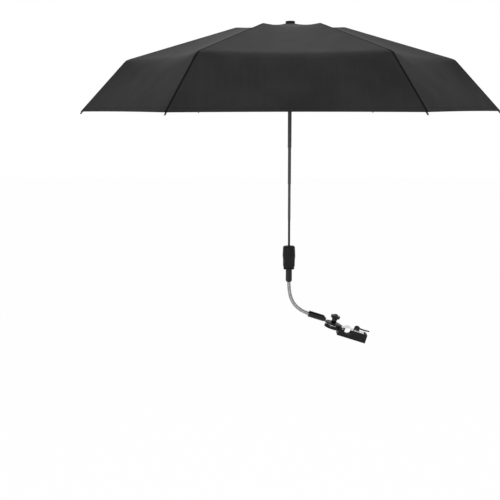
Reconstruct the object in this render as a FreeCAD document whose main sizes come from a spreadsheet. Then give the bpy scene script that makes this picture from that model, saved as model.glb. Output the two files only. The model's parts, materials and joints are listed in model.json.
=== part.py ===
"""Pram parasol on a flexible arm with a tube clamp, as separate pieces at their real size.

Frame: +Z up, +X towards the clamp's free end, +Y along the pram tube. The origin is the
middle of the tube that the clamp grips. Lengths are millimetres and angles are degrees.
"""
import FreeCAD, Part
import math
import os

import Sketcher
from FreeCAD import Placement, Rotation, Vector

SIZES = {
    # Fits shared by the pieces
    "overrun": 1.0,
    "running_gap": 0.05,
    "fit_gap": 0.15,
    "face_gap": 0.3,
    # Clamp that grips the pram tube; it leans about the tube
    "tube_radius": 8.0,
    "clamp_lean": 17.5,
    "clamp_width": 27.0,
    "clamp_wall": 2.2,
    "clamp_reach": 43.5,
    "clamp_bar": 3.3,
    "clamp_heel": 21.4,
    "clamp_top": 5.0,
    "clamp_depth": 14.0,
    "base_thick": 2.5,
    "pad_length": 18.0,
    "pad_rise": 7.5,
    # Steel strap over the tube, hooked on a pin
    "strap_width": 21.8,
    "strap_thick": 1.5,
    "strap_flat": 4.0,
    "strap_reach": 36.0,
    "strap_lip": 4.0,
    "pin_reach": 13.0,
    "pin_rise": 2.6,
    "pin_radius": 1.2,
    "pin_eye_radius": 2.4,
    # Stud, washer and tightening lever
    "stud_reach": 18.5,
    "stud_radius": 3.0,
    "stud_top": 13.5,
    "stud_flange_radius": 5.0,
    "stud_flange_thick": 1.5,
    "stud_slot_radius": 4.2,
    "washer_radius": 8.25,
    "washer_thick": 1.6,
    "washer_bore": 3.2,
    "lever_hub_radius": 6.5,
    "lever_hub_height": 7.0,
    "lever_dome": 3.0,
    "lever_length": 29.0,
    "lever_root_width": 6.4,
    "lever_tip_width": 3.8,
    "lever_rise": 3.4,
    "lever_thick": 3.5,
    "insert_wall": 1.5,
    "insert_length": 7.0,
    # Tilt joint between two discs
    "disc_reach": 35.5,
    "disc_radius": 17.7,
    "rear_disc_top": 1.2,
    "rear_disc_thick": 5.9,
    "front_disc_thick": 3.5,
    "tang_thick": 2.5,
    "tang_eye_radius": 13.0,
    "tang_width": 9.0,
    "tang_grip": 18.0,
    "tang_gap": 1.2,
    "tang_ramp_depth": 4.0,
    "bolt_radius": 2.5,
    "bolt_head_radius": 4.5,
    "bolt_head_thick": 2.8,
    "bolt_top": 21.5,
    # Star knob
    "knob_hub_radius": 6.0,
    "knob_hub_height": 10.2,
    "knob_head_height": 8.0,
    "knob_dome": 2.0,
    "knob_core_radius": 8.2,
    "lobe_radius": 2.6,
    "lobe_circle": 7.9,
    "lobe_count": 7,
    # Sleeves at both ends of the flexible neck
    "sleeve_radius": 7.0,
    "sleeve_rise": 10.5,
    "sleeve_end": 95.0,
    "sleeve_chamfer": 2.2,
    "sleeve_cut_rise": 2.2,
    "sleeve_cut_length": 7.0,
    "upper_sleeve_length": 28.7,
    "mouth_gap": 1.2,
    # Flexible neck: links with a wound wire
    "neck_radius": 4.1,
    "wire_radius": 0.7,
    "liner_gap": 0.1,
    "link_length": 14.9,
    "link_end": 1.05,
    "knuckle_radius": 1.6,
    "knuckle_width": 3.2,
    "knuckle_neck": 2.4,
    "link_count": 6,
    "coil_turns": 6,
    "turn_spread_share": 0.7,
    "turn_peak_share": 0.42,
    # Plug and swivel bush under the handle
    "plug_shank_radius": 5.0,
    "plug_shank": 14.0,
    "flange_radius": 12.0,
    "flange_thick": 3.0,
    "stub_radius": 5.25,
    "stub_height": 11.6,
    "plug_neck_radius": 3.65,
    "plug_neck_height": 5.0,
    "plug_head_radius": 5.2,
    "plug_head_height": 5.8,
    "plug_chamfer": 1.4,
    "bush_radius": 7.5,
    "bush_roof": 1.5,
    # Handle
    "grip_height": 48.0,
    "grip_foot_radius": 11.35,
    "grip_low_radius": 13.15,
    "grip_mid_radius": 14.1,
    "grip_top_radius": 12.8,
    "grip_crest_radius": 9.4,
    "grip_roof": 3.0,
    "grip_chamfer": 2.6,
    "grip_round": 3.4,
    "core_radius": 10.0,
    # Telescopic shaft, thinnest tube at the handle
    "low_tube_radius": 2.55,
    "tube_step": 0.5,
    "top_tube_radius": 4.2,
    "low_tube_show": 58.0,
    "second_tube_show": 78.0,
    "third_tube_show": 78.0,
    "tube_overlap": 25.0,
    "hem_rise": 292.0,
    # Canopy rings above the hem, measured on the ribs
    "rib_count": 6,
    "hem_radius": 450.0,
    "bend_radius": 349.0,
    "bend_rise": 108.0,
    "bump_radius": 114.0,
    "bump_rise": 175.5,
    "peak_radius": 10.0,
    "peak_rise": 183.0,
    "cloth_thick": 0.7,
    # Crown, cap and wire rings
    "pivot_radius": 9.0,
    "pivot_drop": 8.0,
    "crown_radius": 12.0,
    "crown_height": 12.5,
    "slot_width": 3.7,
    "slot_floor": 6.4,
    "ring_wire_radius": 0.6,
    "cap_radius": 10.0,
    "cap_height": 5.6,
    "cap_stem": 12.0,
    # Ribs and stretchers
    "rib_drop": 4.6,
    "rib_width": 3.0,
    "rib_height": 2.6,
    "rib_eye_radius": 2.2,
    "rib_eye_bore": 0.9,
    "rib_joint_radius": 183.0,
    "rib_pin_radius": 1.0,
    "mid_offset": 3.2,
    "mid_boss_radius": 1.6,
    "mid_wire_radius": 1.25,
    "outer_wire_radius": 0.9,
    "tip_radius": 1.5,
    "tip_length": 7.0,
    "tip_reach": 2.5,
    "tip_drop": 3.1,
    "stretcher_reach": 70.0,
    "stretcher_length": 86.0,
    "stretcher_offset": 3.1,
    "stretcher_wire_radius": 1.2,
    "jog_start": 6.0,
    "jog_end": 14.0,
    # Runner and its button
    "runner_flange": 5.0,
    "runner_tube_radius": 6.5,
    "runner_tube_length": 21.5,
    "collar_radius": 8.5,
    "collar_length": 16.0,
    "button_width": 5.6,
    "button_height": 8.6,
    "button_inner": 6.6,
    "button_outer": 10.2,
    "button_pocket": 5.0,
}
PER_TURN = 360.0
UPRIGHT = 90.0
SHEET = "Sizes"
X_AXIS = Vector(1, 0, 0)
Y_AXIS = Vector(0, 1, 0)
Z_AXIS = Vector(0, 0, 1)


class Size:
    """A number together with the sheet expression that gives it."""

    def __init__(self, value, text):
        self.value = value
        self.text = text

    def __add__(self, other):
        return Size(self.value + number(other), f"({self.text} + {words(other)})")

    def __sub__(self, other):
        return Size(self.value - number(other), f"({self.text} - {words(other)})")

    def __mul__(self, other):
        return Size(self.value * number(other), f"({self.text} * {words(other)})")

    def __truediv__(self, other):
        return Size(self.value / number(other), f"({self.text} / {words(other)})")

    def __neg__(self):
        return Size(-self.value, f"(0 - {self.text})")

    __rmul__ = __mul__


def number(size):
    """Return the plain number of a size."""
    return size.value if isinstance(size, Size) else float(size)


def words(size):
    """Return the sheet expression of a size."""
    return size.text if isinstance(size, Size) else str(size)


def vector(point):
    """Return three sizes as a vector."""
    return Vector(*[number(place) for place in point])


class Sheet:
    """The driving dimensions; each is an attribute that holds a Size."""

    def __init__(self, doc):
        page = doc.addObject("Spreadsheet::Sheet", SHEET)
        for row, (alias, value) in enumerate(SIZES.items(), start=1):
            page.set(f"A{row}", alias)
            page.set(f"B{row}", str(value))
            page.setAlias(f"B{row}", alias)
            setattr(self, alias, Size(float(value), f"{SHEET}.{alias}"))
        doc.recompute()


class Model:
    """The document, its sheet and the sub-parts made so far."""

    def __init__(self):
        self.doc = FreeCAD.newDocument("PramParasol")
        self.sizes = Sheet(self.doc)
        self.nodes = []

    def bind(self, thing, **sizes):
        """Bind some properties of an object to the sheet."""
        for name, size in sizes.items():
            setattr(thing, name, number(size))
            if isinstance(size, Size):
                thing.setExpression(name, size.text)
        return thing

    def put(self, thing, at, along=Z_AXIS):
        """Place an object at three sizes, with its own Z turned along a direction."""
        thing.Placement = Placement(vector(at), Rotation(Z_AXIS, along))
        for letter, place in zip("xyz", at):
            if isinstance(place, Size):
                thing.setExpression(f".Placement.Base.{letter}", place.text)
        return thing

    def rod(self, radius, length, at=(0, 0, 0), along=Z_AXIS):
        """Make a round bar from a point along a direction."""
        thing = self.bind(self.doc.addObject("Part::Cylinder", "Rod"), Radius=radius, Height=length)
        return self.put(thing, at, along)

    def block(self, size, at):
        """Make a box from its lowest corner."""
        thing = self.doc.addObject("Part::Box", "Block")
        self.bind(thing, Length=size[0], Width=size[1], Height=size[2])
        return self.put(thing, at)

    def ball(self, radius, at):
        """Make a ball about a point."""
        return self.put(self.bind(self.doc.addObject("Part::Sphere", "Ball"), Radius=radius), at)

    def ring(self, radius, wire, at):
        """Make a wire ring about the Z axis."""
        thing = self.bind(self.doc.addObject("Part::Torus", "Ring"), Radius1=radius, Radius2=wire)
        return self.put(thing, at)

    def wire(self, radius, start, end):
        """Make a round bar between two points."""
        way = vector(end) - vector(start)
        thing = self.bind(self.doc.addObject("Part::Cylinder", "Wire"), Radius=radius)
        thing.Height = way.Length
        thing.Placement = Placement(vector(start), Rotation(Z_AXIS, way))
        return thing

    def beam(self, width, height, start, end):
        """Make a square bar between two points of the XZ plane, middle on the line."""
        way = vector(end) - vector(start)
        thing = self.bind(self.doc.addObject("Part::Box", "Beam"), Width=width, Height=height)
        thing.Length = way.Length
        turn = Rotation(X_AXIS, way)
        middle = Vector(0, -number(width) / 2, -number(height) / 2)
        thing.Placement = Placement(vector(start) + turn.multVec(middle), turn)
        return thing

    def sketch(self, body, role, points):
        """Draw a closed outline whose corners are all bound to the sheet."""
        drawing = body.newObject("Sketcher::SketchObject", "Outline")
        plane = [item for item in body.Origin.OriginFeatures if item.Role == role][0]
        drawing.AttachmentSupport = [(plane, "")]
        drawing.MapMode = "FlatFace"
        flat = [Vector(number(across), number(up), 0) for across, up in points]
        for line, corner in enumerate(flat):
            drawing.addGeometry(Part.LineSegment(corner, flat[(line + 1) % len(flat)]), False)
        for line, (across, up) in enumerate(points):
            before = line - 1 if line else len(flat) - 1
            drawing.addConstraint(Sketcher.Constraint("Coincident", before, 2, line, 1))
            for kind, place in (("DistanceX", across), ("DistanceY", up)):
                spot = drawing.addConstraint(Sketcher.Constraint(kind, -1, 1, line, 1, number(place)))
                if isinstance(place, Size):
                    drawing.setExpression(f"Constraints[{spot}]", place.text)
        return drawing

    def turned(self, name, outline):
        """Turn an outline of (radius, height) corners about the Z axis."""
        body = self.doc.addObject("PartDesign::Body", name)
        drawing = self.sketch(body, "XZ_Plane", outline)
        turn = body.newObject("PartDesign::Revolution", "Turn")
        turn.Profile = drawing
        turn.ReferenceAxis = (drawing, ["V_Axis"])
        turn.Angle = PER_TURN
        return body

    def padded(self, name, role, outline, depth):
        """Pad an outline on one of the body's own planes, half to each side."""
        body = self.doc.addObject("PartDesign::Body", name)
        drawing = self.sketch(body, role, outline)
        pad = body.newObject("PartDesign::Pad", "Pad")
        pad.Profile = drawing
        self.bind(pad, Length=depth)
        pad.Midplane = True
        return body

    def join(self, things):
        """Join shapes into one."""
        if len(things) == 1:
            return things[0]
        result = self.doc.addObject("Part::MultiFuse", "Join")
        result.Shapes = things
        return result

    def less(self, thing, tools):
        """Take tools away from a shape."""
        result = self.doc.addObject("Part::Cut", "Less")
        result.Base = thing
        result.Tool = self.join(tools)
        return result

    def node(self, label, things, place=Placement()):
        """Keep shapes as one named sub-part with a placement of its own."""
        result = self.doc.addObject("Part::Compound", "Node")
        result.Links = things
        result.Label = label
        result.Placement = place
        self.nodes.append(result)

    def write(self):
        """Check every object and write one file for each sub-part."""
        self.doc.recompute()
        for thing in self.doc.Objects:
            if "Invalid" in thing.State or "Error" in thing.State:
                raise RuntimeError(f"{thing.Name} ({thing.Label}) failed: {thing.State}")
        for thing in self.nodes:
            if thing.Shape.isNull() or not thing.Shape.isValid() or not thing.Shape.Solids:
                raise RuntimeError(f"{thing.Label} has no valid solid")
        os.makedirs("parts", exist_ok=True)
        for thing in self.nodes:
            thing.Shape.exportStep(f"parts/{thing.Label}.step")
            print(f"{thing.Label}: {thing.Shape.Volume:.0f} mm3, {len(thing.Shape.Solids)} solids")


def clamp_place(s):
    """Return the placement of the clamp, leaning about the tube."""
    return Placement(Vector(), Rotation(Y_AXIS, number(s.clamp_lean)))


def make_clamp(model):
    """Make the fixed clamp: walls, base, end bar and rear disc, with stud, bolt, pin and pad."""
    s = model.sizes
    place = clamp_place(s)
    half = s.clamp_width / 2
    length = s.clamp_reach + s.clamp_heel
    height = s.clamp_depth + s.clamp_top
    floor = s.base_thick - s.clamp_depth
    inside = s.clamp_width - s.clamp_wall * 2
    disc_low = s.rear_disc_top - s.rear_disc_thick
    notch = s.tube_radius + s.face_gap
    across = s.clamp_width + s.overrun * 2
    body = [
        model.block((length, s.clamp_wall, height), (-s.clamp_heel, -half, -s.clamp_depth)),
        model.block((length, s.clamp_wall, height), (-s.clamp_heel, half - s.clamp_wall, -s.clamp_depth)),
        model.block((length, s.clamp_width, s.base_thick), (-s.clamp_heel, -half, -s.clamp_depth)),
        model.block((s.clamp_bar, s.clamp_width, height),
                    (s.clamp_reach - s.clamp_bar, -half, -s.clamp_depth)),
        model.block((s.clamp_bar, s.clamp_width, s.clamp_depth), (-s.clamp_heel, -half, -s.clamp_depth)),
        model.rod(s.disc_radius, s.rear_disc_thick, (-s.disc_reach, 0, disc_low)),
    ]
    cuts = [
        model.rod(notch, across, (0, -half - s.overrun, 0), Y_AXIS),
        model.block((notch * 2, across, s.clamp_top + s.overrun), (-notch, -half - s.overrun, 0)),
        model.rod(s.bolt_radius, s.rear_disc_thick + s.overrun * 2, (-s.disc_reach, 0, disc_low - s.overrun)),
        model.rod(s.stud_radius, s.base_thick + s.overrun * 2, (s.stud_reach, 0, -s.clamp_depth - s.overrun)),
        model.rod(s.pin_radius, across, (-s.pin_reach, -half - s.overrun, s.pin_rise), Y_AXIS),
    ]
    model.node("clamp_body", [model.less(model.join(body), cuts)], place)

    stud = [
        model.rod(s.stud_radius, s.clamp_depth + s.stud_top, (s.stud_reach, 0, -s.clamp_depth)),
        model.rod(s.stud_flange_radius, s.stud_flange_thick, (s.stud_reach, 0, floor)),
    ]
    model.node("clamp_stud", [model.join(stud)], place)

    bolt = [
        model.rod(s.bolt_radius, s.bolt_top - disc_low, (-s.disc_reach, 0, disc_low)),
        model.rod(s.bolt_head_radius, s.bolt_head_thick, (-s.disc_reach, 0, disc_low - s.bolt_head_thick)),
    ]
    model.node("tilt_bolt", [model.join(bolt)], place)
    pin = model.rod(s.pin_radius, s.clamp_width, (-s.pin_reach, -half, s.pin_rise), Y_AXIS)
    model.node("strap_pin", [pin], place)

    wide = inside - s.fit_gap * 2
    pad = model.block((s.pad_length, wide, s.pad_rise), (-s.pad_length / 2, -wide / 2, floor))
    groove = model.rod(s.tube_radius, across, (0, -half - s.overrun, 0), Y_AXIS)
    model.node("tube_pad", [model.less(pad, [groove])], place)


def make_strap(model):
    """Make the strap: an eye on the pin, a saddle over the tube, a flat for the stud and a lip."""
    s = model.sizes
    side = -s.strap_width / 2
    outer = s.tube_radius + s.strap_thick
    flat_top = s.strap_flat + s.strap_thick
    reach = s.strap_width + s.overrun * 2
    saddle = model.less(
        model.rod(outer, s.strap_width, (0, side, 0), Y_AXIS),
        [model.block((outer * 2, reach, outer + s.strap_flat), (-outer, side - s.overrun, -outer))])
    strap = [
        saddle,
        model.rod(s.pin_eye_radius, s.strap_width, (-s.pin_reach, side, s.pin_rise), Y_AXIS),
        model.block((s.pin_reach, s.strap_width, s.strap_thick), (-s.pin_reach, side, s.strap_flat)),
        model.block((s.strap_reach, s.strap_width, s.strap_thick), (0, side, s.strap_flat)),
        model.block((s.strap_thick, s.strap_width, s.strap_lip),
                    (s.strap_reach - s.strap_thick, side, flat_top - s.strap_lip)),
    ]
    cuts = [
        model.rod(s.tube_radius, reach, (0, side - s.overrun, 0), Y_AXIS),
        model.rod(s.pin_radius + s.running_gap, reach, (-s.pin_reach, side - s.overrun, s.pin_rise), Y_AXIS),
        model.rod(s.stud_slot_radius, s.strap_thick + s.overrun * 2,
                  (s.stud_reach, 0, s.strap_flat - s.overrun)),
    ]
    model.node("clamp_strap", [model.less(model.join(strap), cuts)], clamp_place(s))


def make_lever(model):
    """Make the washer, the domed lever and its threaded insert on the stud."""
    s = model.sizes
    place = clamp_place(s)
    low = s.strap_flat + s.strap_thick
    bore = model.rod(s.washer_bore, s.washer_thick + s.overrun * 2, (s.stud_reach, 0, low - s.overrun))
    washer = model.rod(s.washer_radius, s.washer_thick, (s.stud_reach, 0, low))
    model.node("clamp_washer", [model.less(washer, [bore])], place)

    seat = low + s.washer_thick
    stand = place.multiply(Placement(vector((s.stud_reach, 0, seat)), Rotation()))
    insert_radius = s.stud_radius + s.insert_wall
    shoulder_share = 0.72
    dome = model.turned("LeverHub", [
        (0, 0), (s.lever_hub_radius, 0), (s.lever_hub_radius, s.lever_hub_height),
        (s.lever_hub_radius * shoulder_share, s.lever_hub_height + s.lever_dome * shoulder_share),
        (0, s.lever_hub_height + s.lever_dome)])
    blade = model.padded("LeverBlade", "XY_Plane", [
        (0, -s.lever_root_width / 2), (s.lever_length, -s.lever_tip_width / 2),
        (s.lever_length, s.lever_tip_width / 2), (0, s.lever_root_width / 2)], s.lever_thick)
    blade.Placement = Placement(vector((0, 0, s.lever_rise + s.lever_thick / 2)), Rotation())
    socket = model.rod(insert_radius, s.insert_length + s.overrun, (0, 0, -s.overrun))
    model.node("clamp_lever", [model.less(model.join([dome, blade]), [socket])], stand)
    thread = model.rod(s.stud_radius + s.running_gap, s.insert_length + s.overrun * 2, (0, 0, -s.overrun))
    model.node("lever_insert", [model.less(model.rod(insert_radius, s.insert_length), [thread])], stand)


def make_tilt(model):
    """Make the steel tang, the front disc above it and the lower sleeve on the tang's end."""
    s = model.sizes
    place = clamp_place(s)
    low = s.rear_disc_top + s.face_gap
    top = low + s.tang_thick
    edge = -s.disc_reach - s.disc_radius
    mouth = edge - s.tang_gap
    inner = mouth - s.tang_ramp_depth
    end = mouth - s.tang_grip
    high = s.sleeve_rise - s.tang_thick / 2
    strip = model.padded("Tang", "XZ_Plane", [
        (-s.disc_reach, low), (edge - s.face_gap, low), (inner + s.face_gap, high), (end, high),
        (end, high + s.tang_thick), (inner, high + s.tang_thick), (edge, top),
        (-s.disc_reach, top)], s.tang_width)
    eye = model.rod(s.tang_eye_radius, s.tang_thick, (-s.disc_reach, 0, low))
    hole = model.rod(s.bolt_radius + s.running_gap, s.tang_thick + s.overrun * 2,
                     (-s.disc_reach, 0, low - s.overrun))
    model.node("tilt_tang", [model.less(model.join([strip, eye]), [hole])], place)

    disc = model.rod(s.disc_radius, s.front_disc_thick, (-s.disc_reach, 0, top))
    hole = model.rod(s.bolt_radius + s.running_gap, s.front_disc_thick + s.overrun * 2,
                     (-s.disc_reach, 0, top - s.overrun))
    model.node("tilt_disc", [model.less(disc, [hole])], place)

    length = s.sleeve_end + mouth
    sleeve = model.turned("LowerSleeve", [
        (0, 0), (s.sleeve_radius - s.fit_gap, 0), (s.sleeve_radius, s.fit_gap),
        (s.sleeve_radius, length - s.fit_gap), (s.sleeve_radius - s.fit_gap, length), (0, length)])
    slot_high = s.tang_thick + s.fit_gap * 2
    slot_wide = s.tang_width + s.fit_gap * 2
    slot = model.block((slot_high, slot_wide, s.tang_grip + s.fit_gap + s.overrun),
                       (-slot_high / 2, -slot_wide / 2, -s.overrun))
    notch_high = s.sleeve_rise - low + s.fit_gap
    notch = model.block((notch_high, slot_wide, s.tang_ramp_depth + s.overrun),
                        (-notch_high, -slot_wide / 2, -s.overrun))
    above = s.sleeve_radius + s.overrun
    far = s.sleeve_cut_length * (above - s.sleeve_cut_rise) / (s.sleeve_radius - s.sleeve_cut_rise)
    slant = model.padded("SleeveCut", "XZ_Plane", [
        (s.sleeve_cut_rise, 0), (s.sleeve_cut_rise, -s.overrun), (above, -s.overrun), (above, far)],
        above * 2)
    knuckle = make_knuckle(model, length, length + s.mouth_gap, Y_AXIS)
    solid = model.less(model.join([sleeve] + knuckle), [slot, notch, slant])
    base = Placement(vector((mouth, 0, s.sleeve_rise)), Rotation(Z_AXIS, -X_AXIS))
    model.node("lower_sleeve", [solid], place.multiply(base))


def make_knob(model):
    """Make the star knob with rounded lobes about a domed middle, and its threaded insert."""
    s = model.sizes
    low = s.rear_disc_top + s.face_gap + s.tang_thick + s.front_disc_thick + s.face_gap
    place = clamp_place(s).multiply(Placement(vector((-s.disc_reach, 0, low)), Rotation()))
    top = s.knob_hub_height + s.knob_head_height
    shoulder_share = 0.6
    middle = model.turned("KnobMiddle", [
        (0, 0), (s.knob_hub_radius, 0), (s.knob_hub_radius, s.knob_hub_height),
        (s.knob_core_radius, s.knob_hub_height), (s.knob_core_radius, top),
        (s.knob_core_radius * shoulder_share, top + s.knob_dome), (0, top + s.knob_dome)])
    lobes = []
    count = int(number(s.lobe_count))
    for index in range(count):
        turn = math.radians(PER_TURN * index / count)
        at = (s.lobe_circle * math.cos(turn), s.lobe_circle * math.sin(turn), s.knob_hub_height)
        lobes.append(model.rod(s.lobe_radius, s.knob_head_height, at))
    depth = s.bolt_top - low + s.face_gap
    insert_radius = s.bolt_radius + s.insert_wall
    socket = model.rod(insert_radius, depth + s.overrun, (0, 0, -s.overrun))
    model.node("star_knob", [model.less(model.join([middle] + lobes), [socket])], place)
    thread = model.rod(s.bolt_radius + s.running_gap, depth + s.overrun * 2, (0, 0, -s.overrun))
    model.node("knob_insert", [model.less(model.rod(insert_radius, depth), [thread])], place)


def neck_way(slope):
    """Return the direction of a neck stretch that rises to the -X side."""
    return Vector(-math.cos(math.radians(slope)), 0, math.sin(math.radians(slope)))


def neck_joints(s):
    """Return the neck's joints from the lower sleeve up, as (middle, slope below, slope above)."""
    slope = number(s.clamp_lean)
    start = clamp_place(s).multVec(vector((-s.sleeve_end, 0, s.sleeve_rise)))
    spot = start + neck_way(slope) * number(s.mouth_gap)
    links = int(number(s.link_count))
    even = (UPRIGHT - slope) / (links + 1)
    joints = []
    for index in range(links + 1):
        share = (index + 0.5) / (links + 1) - number(s.turn_peak_share)
        turn = even * (1 + number(s.turn_spread_share) * math.cos(2 * math.pi * share))
        joints.append((spot, slope, slope + turn))
        slope += turn
        spot = spot + neck_way(slope) * number(s.link_length)
    return joints


def make_knuckle(model, low, high, along):
    """Make the round end that the next link turns on, on a short neck."""
    s = model.sizes
    half = s.knuckle_width / 2
    thin = s.knuckle_neck / 2
    across = along == X_AXIS
    size = (s.knuckle_width, s.knuckle_neck) if across else (s.knuckle_neck, s.knuckle_width)
    corner = (-half, -thin) if across else (-thin, -half)
    start = (-half, 0, high) if across else (0, -half, high)
    neck = model.block((size[0], size[1], high - low), (corner[0], corner[1], low))
    return [neck, model.rod(s.knuckle_radius, s.knuckle_width, start, along)]


def make_groove(model, along, reach):
    """Make the cutter for the hollow that rides on the link below's round end."""
    s = model.sizes
    tool = model.bind(model.doc.addObject("Part::Cylinder", "Groove"),
                      Radius=s.knuckle_radius + s.running_gap, Height=reach * 2)
    tool.Placement = Placement(along * -number(reach), Rotation(Z_AXIS, along))
    return tool


def biarc(start, way, end, end_way):
    """Return two tangent arcs from one point and direction to another."""
    span = end - start
    both = span.dot(way + end_way)
    bend = 2 * (1 - way.dot(end_way))
    lead = (math.sqrt(both * both + bend * span.dot(span)) - both) / bend
    first = start + way * lead
    last = end - end_way * lead
    middle = (first + last) / 2
    arcs = []
    for near, corner, far in ((start, first, middle), (middle, last, end)):
        chord = (near + far) / 2
        half = (chord - near).Length
        rise = (corner - chord).Length
        swell = half * math.tan(math.atan2(rise, half) / 2)
        arcs.append(Part.Arc(near, chord + (corner - chord) * (swell / rise), far).toShape())
    return arcs


def coil_shape(s):
    """Return one link's wound wire, an even helix with short straight ends, about its own Z axis."""
    radius = number(s.neck_radius) - number(s.wire_radius)
    thick = 2 * number(s.wire_radius)
    turns = int(number(s.coil_turns))
    low = number(s.link_end) + number(s.wire_radius)
    room = number(s.link_length) - 2 * low
    around = 2 * math.pi * radius
    pitch = room / (turns + 2 * thick / around)

    def helix(turn):
        angle = 2 * math.pi * turn
        rise = low + pitch * (turn + thick / around)
        spot = Vector(radius * math.cos(angle), radius * math.sin(angle), rise)
        way = Vector(-around * math.sin(angle), around * math.cos(angle), pitch).normalize()
        return spot, way

    stations = [helix(half / 2) for half in range(2 * turns + 1)]
    first, last = stations[0], stations[-1]
    tail = first[0] - first[1] * thick
    edges = [Part.LineSegment(tail, first[0]).toShape()]
    for (start, way), (end, end_way) in zip(stations, stations[1:]):
        edges += biarc(start, way, end, end_way)
    edges.append(Part.LineSegment(last[0], last[0] + last[1] * thick).toShape())
    line = Part.Wire(edges)
    section = Part.Wire(Part.makeCircle(number(s.wire_radius), tail, first[1]))
    print(f"neck wire: least gap to itself {least_gap(edges, turns, thick):.2f} mm")
    return line.makePipeShell([section], True, False)


def least_gap(edges, turns, thick):
    """Return the least gap of a wire to itself, measured on points a half turn or more apart."""
    per_edge = 24
    points = [point for edge in edges for point in edge.discretize(per_edge)]
    apart = len(points) // (2 * turns)
    gaps = [(first - second).Length
            for place, first in enumerate(points) for second in points[place + apart:]]
    return min(gaps) - thick


def make_neck(model):
    """Make the flexible neck's links: a liner with a knuckle and a hollow, and the wound wire on it."""
    s = model.sizes
    joints = neck_joints(s)
    coil = coil_shape(s)
    liner = s.neck_radius - s.wire_radius * 2 - s.liner_gap
    for index, (spot, below, above) in enumerate(joints[:-1]):
        in_plane = index % 2 == 0
        turn = math.radians(above - below)
        hollow = Y_AXIS if in_plane else Vector(math.cos(turn), 0, math.sin(turn))
        core = [model.rod(liner, s.link_length - s.link_end * 2, (0, 0, s.link_end))]
        along = X_AXIS if in_plane else Y_AXIS
        core += make_knuckle(model, s.link_length - s.link_end * 2, s.link_length, along)
        solid = model.less(model.join(core), [make_groove(model, hollow, s.neck_radius)])
        wound = model.doc.addObject("Part::Feature", "Coil")
        wound.Shape = coil
        place = Placement(spot, Rotation(Z_AXIS, neck_way(above)))
        model.node(f"neck_link_{index + 1}", [solid, wound], place)


class Mast:
    """Heights above the neck's last joint, on the shaft's own axis."""

    def __init__(self, s):
        spot = neck_joints(s)[-1][0]
        self.place = Placement(spot, Rotation())
        self.flange = s.mouth_gap + s.upper_sleeve_length
        self.grip = self.flange + s.flange_thick + s.face_gap
        self.grip_top = self.grip + s.grip_height
        self.step_one = self.grip_top + s.low_tube_show
        self.step_two = self.step_one + s.second_tube_show
        self.step_three = self.step_two + s.third_tube_show
        self.hem = self.grip_top + s.hem_rise
        self.pivot = self.hem + s.peak_rise - s.pivot_drop
        self.crown_top = self.hem + s.peak_rise - s.cloth_thick - s.face_gap


def make_handle(model):
    """Make the upper sleeve, the plug, its swivel bush and the handle that pulls off the bush."""
    s = model.sizes
    mast = Mast(s)
    gap = s.running_gap
    sleeve = model.turned("UpperSleeve", [
        (0, s.mouth_gap), (s.sleeve_radius - s.sleeve_chamfer, s.mouth_gap),
        (s.sleeve_radius, s.mouth_gap + s.sleeve_chamfer), (s.sleeve_radius, mast.flange), (0, mast.flange)])
    socket = model.rod(s.plug_shank_radius, s.plug_shank + s.overrun, (0, 0, mast.flange - s.plug_shank))
    hollow = make_groove(model, Y_AXIS, s.sleeve_radius)
    model.node("upper_sleeve", [model.less(sleeve, [socket, hollow])], mast.place)

    flange_top = mast.flange + s.flange_thick
    stub_top = flange_top + s.stub_height
    neck_top = stub_top + s.plug_neck_height
    head_top = neck_top + s.plug_head_height
    plug = model.turned("Plug", [
        (0, mast.flange - s.plug_shank), (s.plug_shank_radius, mast.flange - s.plug_shank),
        (s.plug_shank_radius, mast.flange), (s.flange_radius, mast.flange), (s.flange_radius, flange_top),
        (s.stub_radius, flange_top), (s.stub_radius, stub_top), (s.plug_neck_radius, stub_top),
        (s.plug_neck_radius, neck_top), (s.plug_head_radius, neck_top),
        (s.plug_head_radius, head_top - s.plug_chamfer),
        (s.plug_head_radius - s.plug_chamfer, head_top), (0, head_top)])
    model.node("parasol_plug", [plug], mast.place)

    roof = head_top + s.face_gap
    bush_top = roof + s.bush_roof
    ridge_low = stub_top + s.fit_gap
    ridge_high = neck_top - s.fit_gap
    bush = model.turned("Bush", [
        (s.stub_radius + gap, mast.grip), (s.bush_radius, mast.grip), (s.bush_radius, bush_top), (0, bush_top),
        (0, roof), (s.plug_head_radius + s.fit_gap, roof), (s.plug_head_radius + s.fit_gap, ridge_high),
        (s.plug_neck_radius + gap, ridge_high), (s.plug_neck_radius + gap, ridge_low),
        (s.stub_radius + gap, ridge_low)])
    model.node("swivel_bush", [bush], mast.place)

    bore_top = bush_top + s.fit_gap
    seat = bore_top + s.bush_roof
    core_top = mast.grip_top - s.grip_roof
    core = model.turned("HandleCore", [
        (s.bush_radius + gap, mast.grip), (s.core_radius, mast.grip), (s.core_radius, core_top),
        (s.low_tube_radius, core_top), (s.low_tube_radius, seat), (0, seat), (0, bore_top),
        (s.bush_radius + gap, bore_top)])
    model.node("handle_core", [core], mast.place)

    waist_share = 0.55
    neck = s.low_tube_radius + s.face_gap
    grip = model.turned("HandleGrip", [
        (s.core_radius, mast.grip), (s.grip_foot_radius, mast.grip),
        (s.grip_low_radius, mast.grip + s.grip_chamfer),
        (s.grip_mid_radius, mast.grip + s.grip_height * waist_share),
        (s.grip_top_radius, mast.grip_top - s.grip_round), (s.grip_crest_radius, mast.grip_top),
        (neck, mast.grip_top), (neck, core_top), (s.core_radius, core_top)])
    model.node("handle_grip", [grip], mast.place)
    make_shaft(model, mast, seat)


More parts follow.
